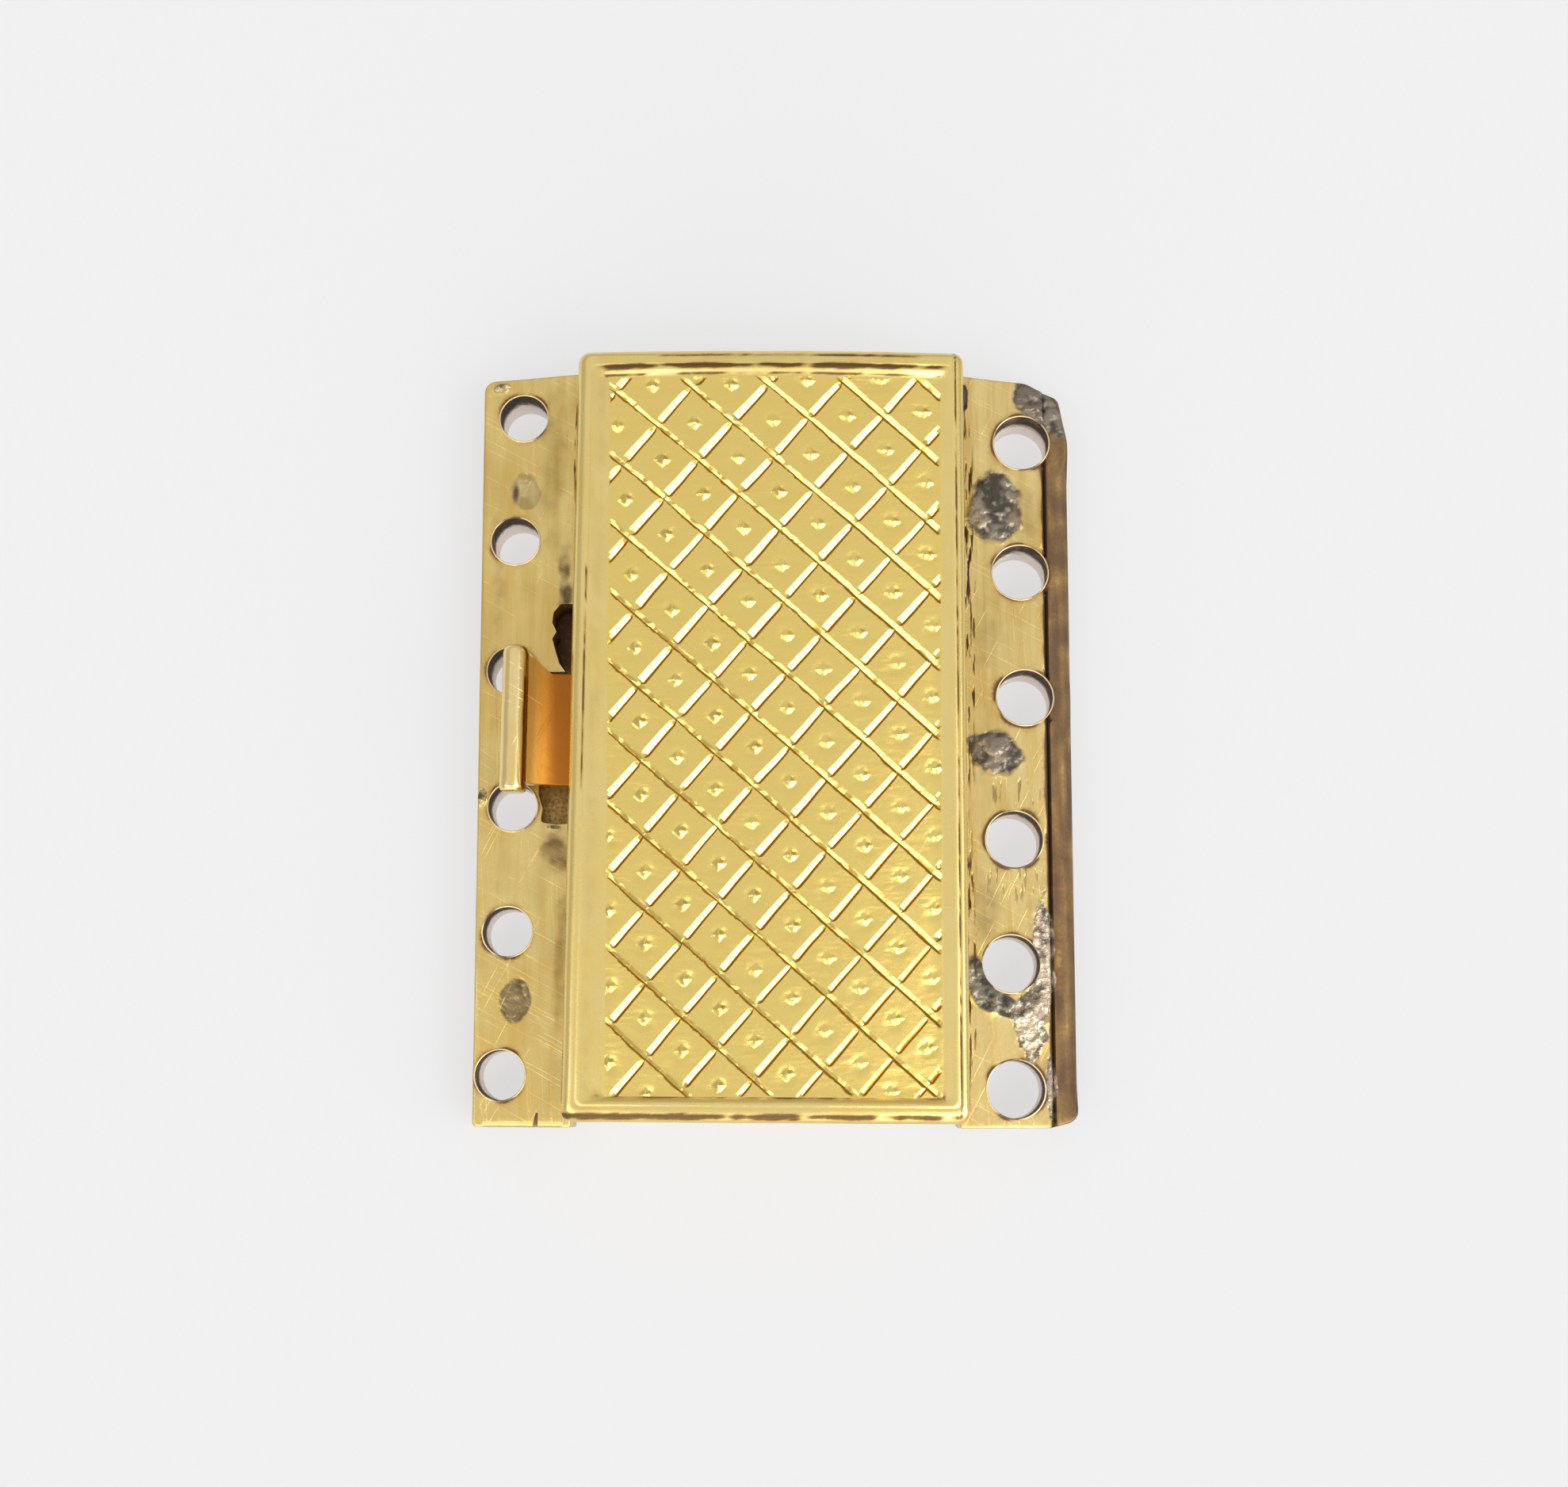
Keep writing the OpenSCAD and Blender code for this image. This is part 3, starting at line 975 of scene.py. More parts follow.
@dataclass
class EngravedPlate:
    """The domed sheet with its lattice of cuts and its pips.

    Attributes:
        dome: The top that it follows.
        field: Its outline.
        drop: How far it lies below the frame.
        sheet: Its thickness.
        start: A crossing of the lattice.
        step_broad: The step along the broad cuts to the next crossing.
        step_narrow: The step along the narrow cuts.
        close_up: How much those steps close up.
        reach: The first and last step that are laid out.
        broad: The broad cuts' section.
        narrow: The narrow cuts' section.
        pip_lines: Lines of the mesh across a pip, in millimetres from the cell's middle.
        pip_height: How high the pips stand.
        wander: How far the lattice wanders.
        finish: Its finish.
    """

    dome: Dome
    field: PanelOutline
    drop: float = 0.1
    sheet: float = 0.45
    start: Point = (-1.59, -0.95)
    step_broad: Point = (1.096, 1.259)
    step_narrow: Point = (1.2, -1.05)
    close_up: float = 0.012
    reach: tuple[int, int] = (-7, 9)
    broad: Cut = Cut(-0.135, 0.035, 0.125, 0.08)
    narrow: Cut = Cut(-0.11, -0.03, 0.09, 0.055)
    pip_lines: Sequence[float] = (0.0, 0.05, 0.1, 0.15, 0.2, 0.25)
    pip_height: float = 0.11
    wander: float = 0.12
    finish: GoldFinish = GoldFinish(
        name="satin_gold",
        clean=(0.82, 0.625, 0.19),
        deep=(0.78, 0.57, 0.155),
        # This amber is painted shade: it darkens the cuts' steep walls, the narrow cuts' flanks and the pips'
        # nicks in place of their dark reflections.
        film_and_shade=(0.34, 0.13, 0.004),
        film_and_shade_dull=0.1,
        film_and_shade_speckle=0.4,
        roughness=0.28,
        streaks=(0.5, 3.2, 1.0),
        streak_share=0.35,
        grain=0.0008,
        ripple=0.024,
        scratches=0.1,
    )

    def area(self) -> float:
        """Gives a cell's area."""
        a, b = self.step_broad, self.step_narrow
        return abs(a[0] * b[1] - a[1] * b[0])

    def lines(self, cut: Cut, pitch: float) -> list[float]:
        """Lists the mesh's lines across one cell, from cell middle to cell middle.

        Args:
            cut: The cut in the middle of the list.
            pitch: The distance from one cut to the next.

        Returns:
            The lines' places, in millimetres from the cut, always 25 of them.
        """
        half = pitch / 2
        before = np.linspace(-half + self.pip_lines[-1], cut.start, 5)[1:-1]
        middle = [cut.start, (cut.start + cut.bottom) / 2, cut.bottom, (cut.bottom + cut.end) / 2, cut.end]
        after = np.linspace(cut.end, half - self.pip_lines[-1], 7)[1:-1]
        return [
            *(-half + line for line in self.pip_lines), *before, *middle, *after,
            *(half - line for line in reversed(self.pip_lines)),
        ]

    def warp(self, t: Tree, steps: Field, cut: Cut, pitch: float, width: Field) -> Field:
        """Moves the grid's even lines to where the cuts and pips need them.

        Args:
            t: The tree.
            steps: The even steps, whole numbers at the cuts.
            cut: The cut's section.
            pitch: The distance from one cut to the next, in millimetres.
            width: The cut's width in shares of its section.

        Returns:
            The steps after the move.
        """
        lines = self.lines(cut, pitch)
        whole = (steps + 0.5).floor()
        even = steps - whole + 0.5
        reach = pitch * 0.25

        def growth(line: float) -> float:
            """Says how far a line moves with the cut's width: less and less beyond the cut."""
            if cut.start <= line <= cut.end:
                return line / pitch
            end = abs(cut.start if line < 0 else cut.end)
            return math.copysign(max(0.0, 1 - abs(line) / reach), line) * end / pitch

        moved = self.curve(t, even, [line / pitch + 0.5 for line in lines])
        spread = self.curve(t, even, [growth(line) + 0.5 for line in lines])
        return whole + moved - 0.5 + (spread - 0.5) * (width - 1.0)

    def curve(self, t: Tree, value: Field, heights: Sequence[float]) -> Field:
        """Reads a value from a curve of straight stretches.

        Args:
            t: The tree.
            value: Where the curve is read, from 0 to 1.
            heights: The curve's evenly spaced heights.

        Returns:
            The curve's height there.
        """
        node = t.node("ShaderNodeFloatCurve")
        points = [(k / (len(heights) - 1), height) for k, height in enumerate(heights)]
        mapping = node.mapping
        track = mapping.curves[0]
        track.points[0].location, track.points[1].location = points[0], points[-1]
        for x, y in points[1:-1]:
            track.points.new(x, y)
        for point in track.points:
            point.handle_type = "VECTOR"
        mapping.update()
        put(t.tree, node.inputs["Value"], value)
        return t.out(node)

    def tree(self) -> bpy.types.NodeTree:
        """Builds the tree that lays out the lattice and carves the cuts and pips.

        Returns:
            The tree.
        """
        names = ("Broad depth", "Narrow depth", "Pip height", "Wander")
        t, sizes = shape_tree("engraving", "Plate", names, "Plate")
        cells = self.reach[1] - self.reach[0]
        along_a, along_b = math.hypot(*self.step_broad), math.hypot(*self.step_narrow)
        broad_pitch, narrow_pitch = self.area() / along_a, self.area() / along_b
        points = cells * (len(self.lines(self.broad, broad_pitch)) - 1) + 1
        geometry = t.make("GeometryNodeMeshGrid", {
            "Size X": float(cells), "Size Y": float(cells), "Vertices X": points, "Vertices Y": points,
        })
        gx, gy, _ = t.parts(t.make("GeometryNodeInputPosition"))
        middle = (self.reach[0] + self.reach[1]) / 2
        rough_u, rough_v = gx + middle, gy + middle
        rough_x, rough_y = self.lattice_place(rough_u, rough_v)
        flat = t.vector(rough_x, rough_y)
        slid = t.noise(flat, 1.1, 2.0).step(0.32, 0.62)
        right = rough_x.step(-1.0, 5.0)
        crumbly = (t.noise(flat, 5.5, 2.0) - 0.5) * (1.3 - right * 0.7)
        narrow_width = slid * 0.3 + right * 0.3 + 0.75 + crumbly
        u = self.warp(t, rough_u, self.narrow, narrow_pitch, narrow_width)
        stroke_cell = t.random(t.vector(u.floor(), (rough_v + 0.5).floor(), 3.0))
        along = u - u.floor()
        begin = stroke_cell[0] * 0.05 + 0.025
        close = 0.985 - stroke_cell[1] * 0.07
        stroke = along.window((begin, begin + 0.07), (close - 0.08, close)).root()
        broad_width = (1.14 - along * 0.3) * (stroke_cell[2] * 0.24 + 0.88) * (stroke * 0.6 + 0.4)
        v = self.warp(t, rough_v, self.broad, broad_pitch, broad_width)
        x, y = self.lattice_place(u, v)
        off_narrow = (u - (u + 0.5).floor()) * narrow_pitch
        off_broad = (v - (v + 0.5).floor()) * broad_pitch
        border = self.border(x, y)
        ragged = t.noise(flat, 1.6, 2.0) * 0.3 - 0.14
        kept = (border - ragged).step(0.0, 0.09)
        broad = self.section(off_broad, self.broad, broad_width) * broad_width * stroke * sizes["Broad depth"]
        patches = t.noise(flat, 2.6, 2.0) * 0.9 + 0.55
        narrow = self.section(off_narrow, self.narrow, narrow_width) * narrow_width
        narrow = narrow * patches * sizes["Narrow depth"]
        burr_at = abs(off_narrow - narrow_width * (self.narrow.end + 0.03))
        burr = (1.0 - burr_at / 0.05).clamp() * slid * 0.012
        pip, nick = self.pip(t, sizes, u, v, right)
        ground = (t.noise(flat, 0.9, 2.0) - 0.5) * 0.012
        brushed = t.noise(t.stretch(flat, (0.9, 4.0, 1.0)), 2.2, 2.0) - 0.5
        ground = ground + brushed * (right * 0.008 + 0.004)
        cut = broad.math("MAXIMUM", narrow) * kept
        lift = border.fade(-0.02, 0.25) * 0.015
        z = self.dome_field(x) + ground + (pip + burr) * kept + lift - cut
        sway = t.node("ShaderNodeTexNoise", {"Vector": flat, "Scale": 0.45, "Detail": 1.0})
        sway_x, sway_y, _ = t.parts(t.out(sway, "Color"))
        x = x + (sway_x - 0.5) * sizes["Wander"]
        y = y + (sway_y - 0.5) * sizes["Wander"]
        # Painted shade: the broad cuts' steep walls, the narrow cuts' lower flanks and the pips' nicks get
        # the amber film, standing in for their dark reflections and the light bounced between gold walls.
        wall = ((off_broad - broad_width * self.broad.bottom) / 0.03).clamp() * (broad / 0.02).clamp()
        flank = ((narrow_width * self.narrow.bottom - off_narrow) / 0.03).clamp() * (narrow / 0.02).clamp()
        film_and_shade = (wall * 2.4 + nick * 0.8 + flank * 1.8) * kept
        polish = ((cut - 0.006) / 0.01).clamp() + ((pip - 0.01) * 40.0).clamp()
        for name, value in (("patina", film_and_shade), ("polish", polish.clamp())):
            stored = {"Geometry": geometry, "Name": name, "Value": value}
            geometry = t.make("GeometryNodeStoreNamedAttribute", stored, data_type="FLOAT", domain="POINT")
        moved = t.make("GeometryNodeSetPosition", {
            "Geometry": geometry, "Position": t.stretch(t.vector(x, y, z), (MM,) * 3),
        })
        kept_part = t.make("GeometryNodeDeleteGeometry", {"Geometry": moved, "Selection": self.off_field(t)})
        return dressed(t, "Plate", kept_part, sizes["Finish"])

    def border(self, x: Field, y: Field) -> Field:
        """Gives the distance to the nearest side of the plate, in millimetres."""
        shape = self.field
        share = (y - shape.near) / (shape.far - shape.near)
        left = share * (shape.left_far - shape.left_near) + shape.left_near
        right = share * (shape.right_far - shape.right_near) + shape.right_near
        return (x - left).lesser(right - x).lesser(y - shape.near).lesser(shape.far - y)

    def section(self, off: Field, cut: Cut, width: Field) -> Field:
        """Gives a cut's depth from 0 to 1 at a distance from its line."""
        scaled = off / width
        slope = (scaled - cut.start) / (cut.bottom - cut.start)
        wall = (cut.end - scaled) / (cut.end - cut.bottom)
        return slope.lesser(wall).clamp()

    def lattice_place(self, u: Field, v: Field) -> tuple[Field, Field]:
        """Turns lattice steps into a place on the plate, in millimetres."""
        w = v - v * v * self.close_up
        x = u * self.step_broad[0] + w * self.step_narrow[0] + self.start[0]
        y = u * self.step_broad[1] + w * self.step_narrow[1] + self.start[1]
        return x, y

    def dome_field(self, x: Field) -> Field:
        """Gives the plate's height over x."""
        radius = self.dome.radius - self.drop
        axis = self.dome.edge + self.dome.crown - self.dome.radius
        return (radius * radius - x * x).root() + axis

    def off_field(self, t: Tree) -> Field:
        """Selects what lies well outside the plate's outline.

        Args:
            t: The tree.

        Returns:
            A selection.
        """
        x, y, _ = t.parts(t.stretch(t.make("GeometryNodeInputPosition"), (1 / MM,) * 3))
        margin = 0.2
        left = min(self.field.left_far, self.field.left_near) - margin
        right = max(self.field.right_far, self.field.right_near) + margin
        out = x.math("LESS_THAN", left) + x.math("GREATER_THAN", right)
        out = out + y.math("LESS_THAN", self.field.near - margin)
        return out + y.math("GREATER_THAN", self.field.far + margin)

    def pip(self, t: Tree, sizes: dict[str, Field], u: Field, v: Field, right: Field) -> tuple[Field, Field]:
        """Works out the punched pip in each cell.

        Args:
            t: The tree.
            sizes: Its named inputs.
            u: Steps along the broad cuts.
            v: Steps along the narrow cuts.
            right: How far to the right the cell lies, from 0 to 1.

        Returns:
            The pip's height, and how deep its dark nick is.
        """
        cell = t.random(t.vector(u.floor(), v.floor(), 7.0))
        du = u - u.floor() - 0.5
        dv = v - v.floor() - 0.5
        ex = du * self.step_broad[0] + dv * self.step_narrow[0] + (cell[0] - 0.5) * 0.12
        ey = du * self.step_broad[1] + dv * self.step_narrow[1] + (cell[1] - 0.5) * 0.12
        far = (ex * ex + (ey + 0.04) * (ey + 0.04)).root()
        dish = far.fade(0.1, 0.42) * 0.03
        crest = (1.0 - (abs(ex) * (3.6 - right * 0.8) + abs(ey) * 4.2)).clamp()
        saddle = 1.0 - (1.0 - abs(ex) * 9.0).clamp() * right * 0.75
        nick_x, nick_y = ex - 0.1, ey - 0.1
        nick = (1.0 - (nick_x * nick_x + nick_y * nick_y).root() * 10.0).clamp() * cell[2]
        height = crest * saddle * sizes["Pip height"] * (cell[2] * 0.45 + 0.78)
        return height - dish - nick * 0.05, nick

    def build(self) -> bpy.types.Object:
        """Builds the plate, trims it to its outline and gives it its thickness.

        Returns:
            The panel's piece.
        """
        gold = self.finish.material()
        mesh = grown("engraved_plate", self.tree(), {
            "Broad depth": self.broad.depth, "Narrow depth": self.narrow.depth,
            "Pip height": self.pip_height, "Wander": self.wander, "Finish": gold,
        }, bpy.data.meshes.new("plate_base"))
        corners = self.field.corners()
        with edited(mesh) as shape:
            for (x0, y0), (x1, y1) in zip(corners, corners[1:] + corners[:1]):
                bmesh.ops.bisect_plane(
                    shape, geom=shape.verts[:] + shape.edges[:] + shape.faces[:], dist=1e-8,
                    plane_co=(x0 * MM, y0 * MM, 0), plane_no=(y1 - y0, x0 - x1, 0), clear_outer=True,
                )
            rim = [e for e in shape.edges if e.is_boundary]
            skirt = bmesh.ops.extrude_edge_only(shape, edges=rim)["geom"]
            for part in skirt:
                if isinstance(part, bmesh.types.BMVert):
                    part.co.z = self.dome.height(part.co.x / MM, self.drop + self.sheet) * MM
            edges = [part for part in skirt if isinstance(part, bmesh.types.BMEdge)]
            bmesh.ops.triangle_fill(shape, edges=edges, use_beauty=True)
            bmesh.ops.recalc_face_normals(shape, faces=shape.faces)
        smooth(mesh, 14.0)
        return settle(mesh, gold, Body.CASE, ["engraved_panel"])


@dataclass
class CaseShell:
    """The box: walls, base, the frame's soft moulding, the tongue's slot and the strip's notch.

    Attributes:
        dome: The top that the frame follows.
        field: The panel's outline.
        half_w: Half the case's width.
        half_l: Half its length.
        wall: The walls' thickness.
        base: The base's thickness.
        corner: Rounding of the upright corners.
        rim: How far the top's rim stands out on the left, right, far and near sides.
        edge: Rounding of the rim's top edge on those sides.
        groove: How far the groove lies in from the rim's outer edge.
        groove_depth: How deep the groove is on those sides.
        step: How far the frame lies above the panel's bed on those sides.
        slot: The slot's ends along Y and its top.
        notch: The notch's ends along Y and its top.
        finish: Its finish.
    """

    dome: Dome
    field: PanelOutline
    half_w: float
    half_l: float
    wall: float = 0.45
    base: float = 0.4
    corner: float = 0.36
    rim: Sequence[float] = (0.2, 0.2, 0.12, 0.12)
    edge: Sequence[float] = (0.34, 0.2, 0.3, 0.34)
    groove: Sequence[float] = (0.44, 0.27, 0.54, 0.46)
    groove_depth: Sequence[float] = (0.012, 0.01, 0.035, 0.008)
    step: Sequence[float] = (0.095, 0.095, 0.12, 0.13)
    slot: tuple[float, float, float] = (-11.25, 11.25, 1.9)
    notch: tuple[float, float, float] = (-1.88, 2.02, 3.05)
    finish: GoldFinish = GoldFinish(
        name="worn_case_gold",
        clean=(0.83, 0.655, 0.255),
        deep=(0.76, 0.56, 0.17),
        film_and_shade=(0.075, 0.032, 0.009),
        film_and_shade_speckle=0.6,
        roughness=0.28,
        streaks=(2.4, 0.3, 1.2),
        streak_share=0.4,
        grain=0.0007,
        scratches=0.05,
    )

    def loop(self, corners: Sequence[Point], radius: float, per_side: Sequence[int]) -> list[Point]:
        """Makes a four-sided loop whose points match those of its neighbours.

        Args:
            corners: The corners, anticlockwise from the near left one.
            radius: The corners' rounding.
            per_side: Stretches along the near, right, far and left sides.

        Returns:
            The loop's points.
        """
        points = [Vector(c) for c in corners]
        arcs = [corner_arc(points[k - 1], points[k], points[(k + 1) % 4], radius, 6) for k in range(4)]
        made: list[Point] = []
        for k, arc in enumerate(arcs):
            made += [tuple(p) for p in arc]
            goal = arcs[(k + 1) % 4][0]
            made += [tuple(arc[-1].lerp(goal, n / per_side[k])) for n in range(1, per_side[k])]
        return made

    def outer(self, insets: Sequence[float]) -> list[Point]:
        """Gives the case's corners moved in on its left, right, far and near sides."""
        left, right, far, near = insets
        x0, x1 = -self.half_w + left, self.half_w - right
        y0, y1 = -self.half_l + near, self.half_l - far
        return [(x0, y0), (x1, y0), (x1, y1), (x0, y1)]

    def side_value(self, point: Point, values: Sequence[float]) -> float:
        """Picks the value of the side that a point lies on: left, right, far or near.

        Args:
            point: The point.
            values: The sides' values.

        Returns:
            The value there.
        """
        gaps = (
            point[0] + self.half_w, self.half_w - point[0], self.half_l - point[1], point[1] + self.half_l,
        )
        weights = [1.0 / (0.02 + max(g, 0.0)) ** 3 for g in gaps]
        return sum(w * v for w, v in zip(weights, values)) / sum(weights)

    def level(self, point: Point, drop: float = 0.0) -> float:
        """Gives the frame's top at a point, less domed along its far end."""
        height = self.dome.height(point[0], drop)
        end = max(0.0, 1.0 - (self.half_l - point[1]) / 0.6)
        return height - min(1.0, end) * 0.5 * (height - self.dome.edge + drop)

    def worn(self, x: float, y: float, z: float) -> Point3:
        """Moves a point of the frame by the soft dents of long wear."""
        soft = waves(x, y, (0.5, 0.32), z) * 0.02
        small = waves(x, y, (2.0, 1.3), z + 9.0) * 0.007
        return x + soft * 0.6, y + soft * 0.5, z + soft * 0.5 + small

    def build(self) -> bpy.types.Object:
        """Builds the case as one closed wall and cuts its slot and notch.

        Returns:
            The case's piece.
        """
        plan = MeshPlan()
        sides = (40, 84, 40, 84)
        rings: list[list[int]] = []

        def add(corners: Sequence[Point], radius: float, height: Callable[[Point], float]) -> None:
            """Adds a ring and joins it to the one before it."""
            loop = self.loop(corners, radius, sides)
            points = [(x, y, height((x, y))) for x, y in loop]
            rings.append(plan.ring([self.worn(*p) if p[2] > 0.5 else p for p in points]))
            if len(rings) > 1:
                plan.band(rings[-2], rings[-1])

        for level in (0.0, 0.03, 0.1, 0.9, 1.9, 3.1):
            add(self.outer((max(0.0, FOOT_MM - level),) * 4), self.corner, lambda p, z=level: z)
        plan.faces.append(tuple(rings[0]))
        for k in range(9):
            turn = math.radians(90 * k / 8)
            insets = [e * (1 - math.cos(turn)) - out for e, out in zip(self.edge, self.rim)]
            add(self.outer(insets), self.corner * (1.1 - 0.4 * k / 8), lambda p, s=math.sin(turn): (
                self.level(p) - self.side_value(p, self.edge) * (1 - s)))
        across = ((-0.08, 0.0), (-0.045, 0.3), (-0.015, 0.9), (0.015, 1.0), (0.05, 0.35), (0.085, 0.0))
        for shift, share in across:
            insets = [g + shift - out for g, out in zip(self.groove, self.rim)]
            add(self.outer(insets), self.corner * 0.6, lambda p, s=share: (
                self.level(p) - self.side_value(p, self.groove_depth) * s))
        inner, bed = self.outer(insets), self.field.corners()
        for share in (0.15, 0.3, 0.5, 0.7, 0.85, 0.95, 1.0, 1.04):
            corners = [tuple(Vector(a).lerp(Vector(b), share)) for a, b in zip(inner, bed)]
            add(corners, self.corner * (0.6 - 0.3 * share), lambda p, s=min(1.0, share): (
                self.level(p, self.side_value(p, self.step) * s * s * (3 - 2 * s))))
        under = self.dome.edge - 0.9
        add(self.field.corners([-0.05] * 4), 0.1, lambda p: under)
        add(self.outer((self.wall,) * 4), 0.1, lambda p: under - 0.02)
        add(self.outer((self.wall,) * 4), 0.1, lambda p: self.base)
        plan.faces.append(tuple(reversed(rings[-1])))
        mesh = tidy_normals(plan.mesh("case_shell"))
        left = -self.half_w
        for (near, far, top), foot in ((self.slot, self.base), (self.notch, self.base + 0.1)):
            mesh = carved(mesh, block((left - 1, near, foot), (left + self.wall + 0.1, far, top)))
        paint(mesh, self.film_and_shade)
        smooth(mesh, 35.0)
        return settle(mesh, self.finish.material(), Body.CASE, ["case"])

    def film_and_shade(self, x: float, y: float, z: float) -> float:
        """Gives the film: dark in the far groove, thinner at the foot of the slopes and on the near rim,
        where the rounding's band is also painted shade for its dark reflection.

        Args:
            x: The place along X, in millimetres.
            y: The place along Y.
            z: The place along Z.

        Returns:
            The film's share, each line of it a bell across its gap to one of the sides.
        """
        if z < self.dome.edge - 0.6:
            return 0.15
        left, right, far, near = x + self.half_w, self.half_w - x, self.half_l - y, y + self.half_l
        broken = max(0.0, 0.9 + 1.3 * waves(x, y, (0.7, 0.7), 2.0) + 1.1 * waves(x, y, (3.0, 3.0), 5.0))
        along = -5.35 < x < 5.45
        lines = (
            (far, 0.48, 0.075, 2.1 * along), (far, 0.1, 0.03, 1.5 * (-3.6 < x < 4.8)),
            (far, 0.76, 0.035, 1.0 * along), (far, 0.62, 0.06, 0.22 * along), (near, 0.68, 0.1, 0.7 * along),
            # the near band at 0.06 paints the rounding's dark reflection as well as film
            (near, 0.06, 0.08, 1.6), (left, 0.24, 0.03, 1.0 * (-2.0 < y < 5.0)), (left, 0.6, 0.2, 0.16),
            (right, 0.07, 0.025, 1.2),
        )
        bells = (amount * math.exp(-(((gap - at) / width) ** 2)) for gap, at, width, amount in lines)
        return sum(bells) * broken


@dataclass(frozen=True)
class Hole:
    """A hole through a bar: its place and radius, in millimetres."""

    x: float
    y: float
    r: float

    @staticmethod
    def row(prefix: str) -> "list[Hole]":
        """Reads the holes whose mounts' names start with the prefix."""
        return [
            Hole(m["pos_m"][0] / MM, m["pos_m"][1] / MM, m["dims"]["r_mm"])
            for m in frame["record"]["mounts"] if m["name"].startswith(prefix)
        ]


def spokes(shift: float = 0.0) -> np.ndarray:
    """Gives the directions of the points round a hole, moved on by a share of a step."""
    turns = np.arange(HOLE_POINTS) * 2 * math.pi / HOLE_POINTS + shift * 2 * math.pi / HOLE_POINTS
    return np.stack([np.cos(turns), np.sin(turns)], 1)


def hole_film(holes: Sequence[Hole], x: float, y: float) -> float:
    """Gives the film in the joint round the nearest hole, broken up round its rim."""
    gap = min(math.hypot(x - h.x, y - h.y) - h.r for h in holes)
    broken = 0.5 + 2.8 * waves(x, y, (1.3, 1.1), 5.0)
    return min(1.0, max(0.0, 1.0 - (gap - 0.05) / 0.13)) * max(0.0, broken)


@dataclass
class Slab:
    """A thick sheet with round holes and a modelled top.

    Attributes:
        name: The mesh's name.
        rim: Its outline, anticlockwise.
        holes: Its holes.
        top: Gives the top's height at a place.
        edge: Gives the rounding of the top edge at a place.
        hole_gap: How much wider than the hole the sheet's own opening is.
        spacing: The distance between the top's points.
        lines: Places along X where rows of points run, for folds along Y.
        foot: The chamfer round its foot.
    """

    name: str
    rim: list[Vector]
    holes: Sequence[Hole]
    top: Callable[[float, float], float]
    edge: Callable[[float, float], float]
    hole_gap: float = 0.02
    spacing: float = 0.13
    lines: Sequence[float] = ()
    foot: float = 0.08

    def mesh(self) -> bpy.types.Mesh:
        """Builds the slab as one closed mesh.

        Returns:
            The mesh.
        """
        plan = MeshPlan()
        loop = resample(self.rim, self.spacing)
        normal = outward(loop)
        room = self.room(loop)
        radius = np.minimum([self.edge(x, y) for x, y in loop], room)
        rings = []
        foot = loop - normal * np.minimum(self.foot, room)[:, None]
        rings.append(plan.ring([(x, y, 0.0) for x, y in foot]))
        rings.append(plan.ring([(x, y, self.foot) for x, y in loop]))
        plan.band(rings[0], rings[1])
        steps = 6
        for k in range(steps + 1):
            turn = math.radians(90 * k / steps)
            inner = loop - normal * (radius * (1 - math.cos(turn)))[:, None]
            points = [
                (x, y, self.top(x, y) - r * (1 - math.sin(turn))) for (x, y), r in zip(inner, radius)
            ]
            rings.append(plan.ring(points))
            plan.band(rings[-2], rings[-1])
        circles, top_rims, foot_rims = zip(*(self.bore(plan, hole) for hole in self.holes))
        self.cover(plan, inner, rings[-1], circles, top_rims, True)
        self.cover(plan, foot, rings[0], circles, foot_rims, False)
        return tidy_normals(plan.mesh(self.name))

    def room(self, loop: np.ndarray) -> np.ndarray:
        """Says how wide an edge can be at each point of the outline before it meets a hole."""
        gaps = [np.linalg.norm(loop - (h.x, h.y), axis=1) - h.r - self.hole_gap for h in self.holes]
        return np.min(gaps, 0) * 0.6

    def bore(self, plan: MeshPlan, hole: Hole) -> tuple[np.ndarray, list[int], list[int]]:
        """Adds a hole's wall.

        Args:
            plan: The mesh so far.
            hole: The hole.

        Returns:
            Its circle, and the numbers of its upper and lower rims.
        """
        way = spokes()
        circle = way * (hole.r + self.hole_gap) + (hole.x, hole.y)
        soft = way * (hole.r + self.hole_gap - 0.01) + (hole.x, hole.y)
        upper = plan.ring([(x, y, self.top(x, y)) for x, y in circle])
        below = plan.ring([(x, y, self.top(x, y) - 0.03) for x, y in soft])
        lower = plan.ring([(x, y, 0.0) for x, y in circle])
        plan.band(upper, below)
        plan.band(below, lower)
        return circle, upper, lower

    def cover(
        self, plan: MeshPlan, loop: np.ndarray, rim: list[int], circles: Sequence[np.ndarray],
        rims: Sequence[list[int]], upper: bool,
    ) -> None:
        """Fills the area between the outline and the holes.

        Args:
            plan: The mesh so far.
            loop: The outline.
            rim: The outline's numbers in the mesh.
            circles: The holes' circles.
            rims: The circles' numbers in the mesh.
            upper: Whether this is the modelled top, with points inside it.
        """
        numbers = sum(rims, list(rim))
        points = [loop, *circles]
        if upper:
            free = self.free_points(loop, circles)
            numbers += plan.ring([(x, y, self.top(x, y)) for x, y in free])
            points.append(free)
        flat = np.concatenate(points)
        edges, first = [], 0
        for ring in (loop, *circles):
            edges += [(first + k, first + (k + 1) % len(ring)) for k in range(len(ring))]
            first += len(ring)
        _, _, faces, origin, _, _ = delaunay_2d_cdt([Vector(p) for p in flat], edges, [], 0, 1e-6)
        corners = np.array(faces)
        source = [o[0] for o in origin]
        centre = np.array([np.mean([flat[source[k]] for k in f], 0) for f in corners])
        keep = inside(centre, loop)
        for circle in circles:
            keep &= ~inside(centre, circle)
        for face, kept in zip(corners, keep):
            if kept:
                row = tuple(numbers[source[k]] for k in face)
                plan.faces.append(row if upper else row[::-1])

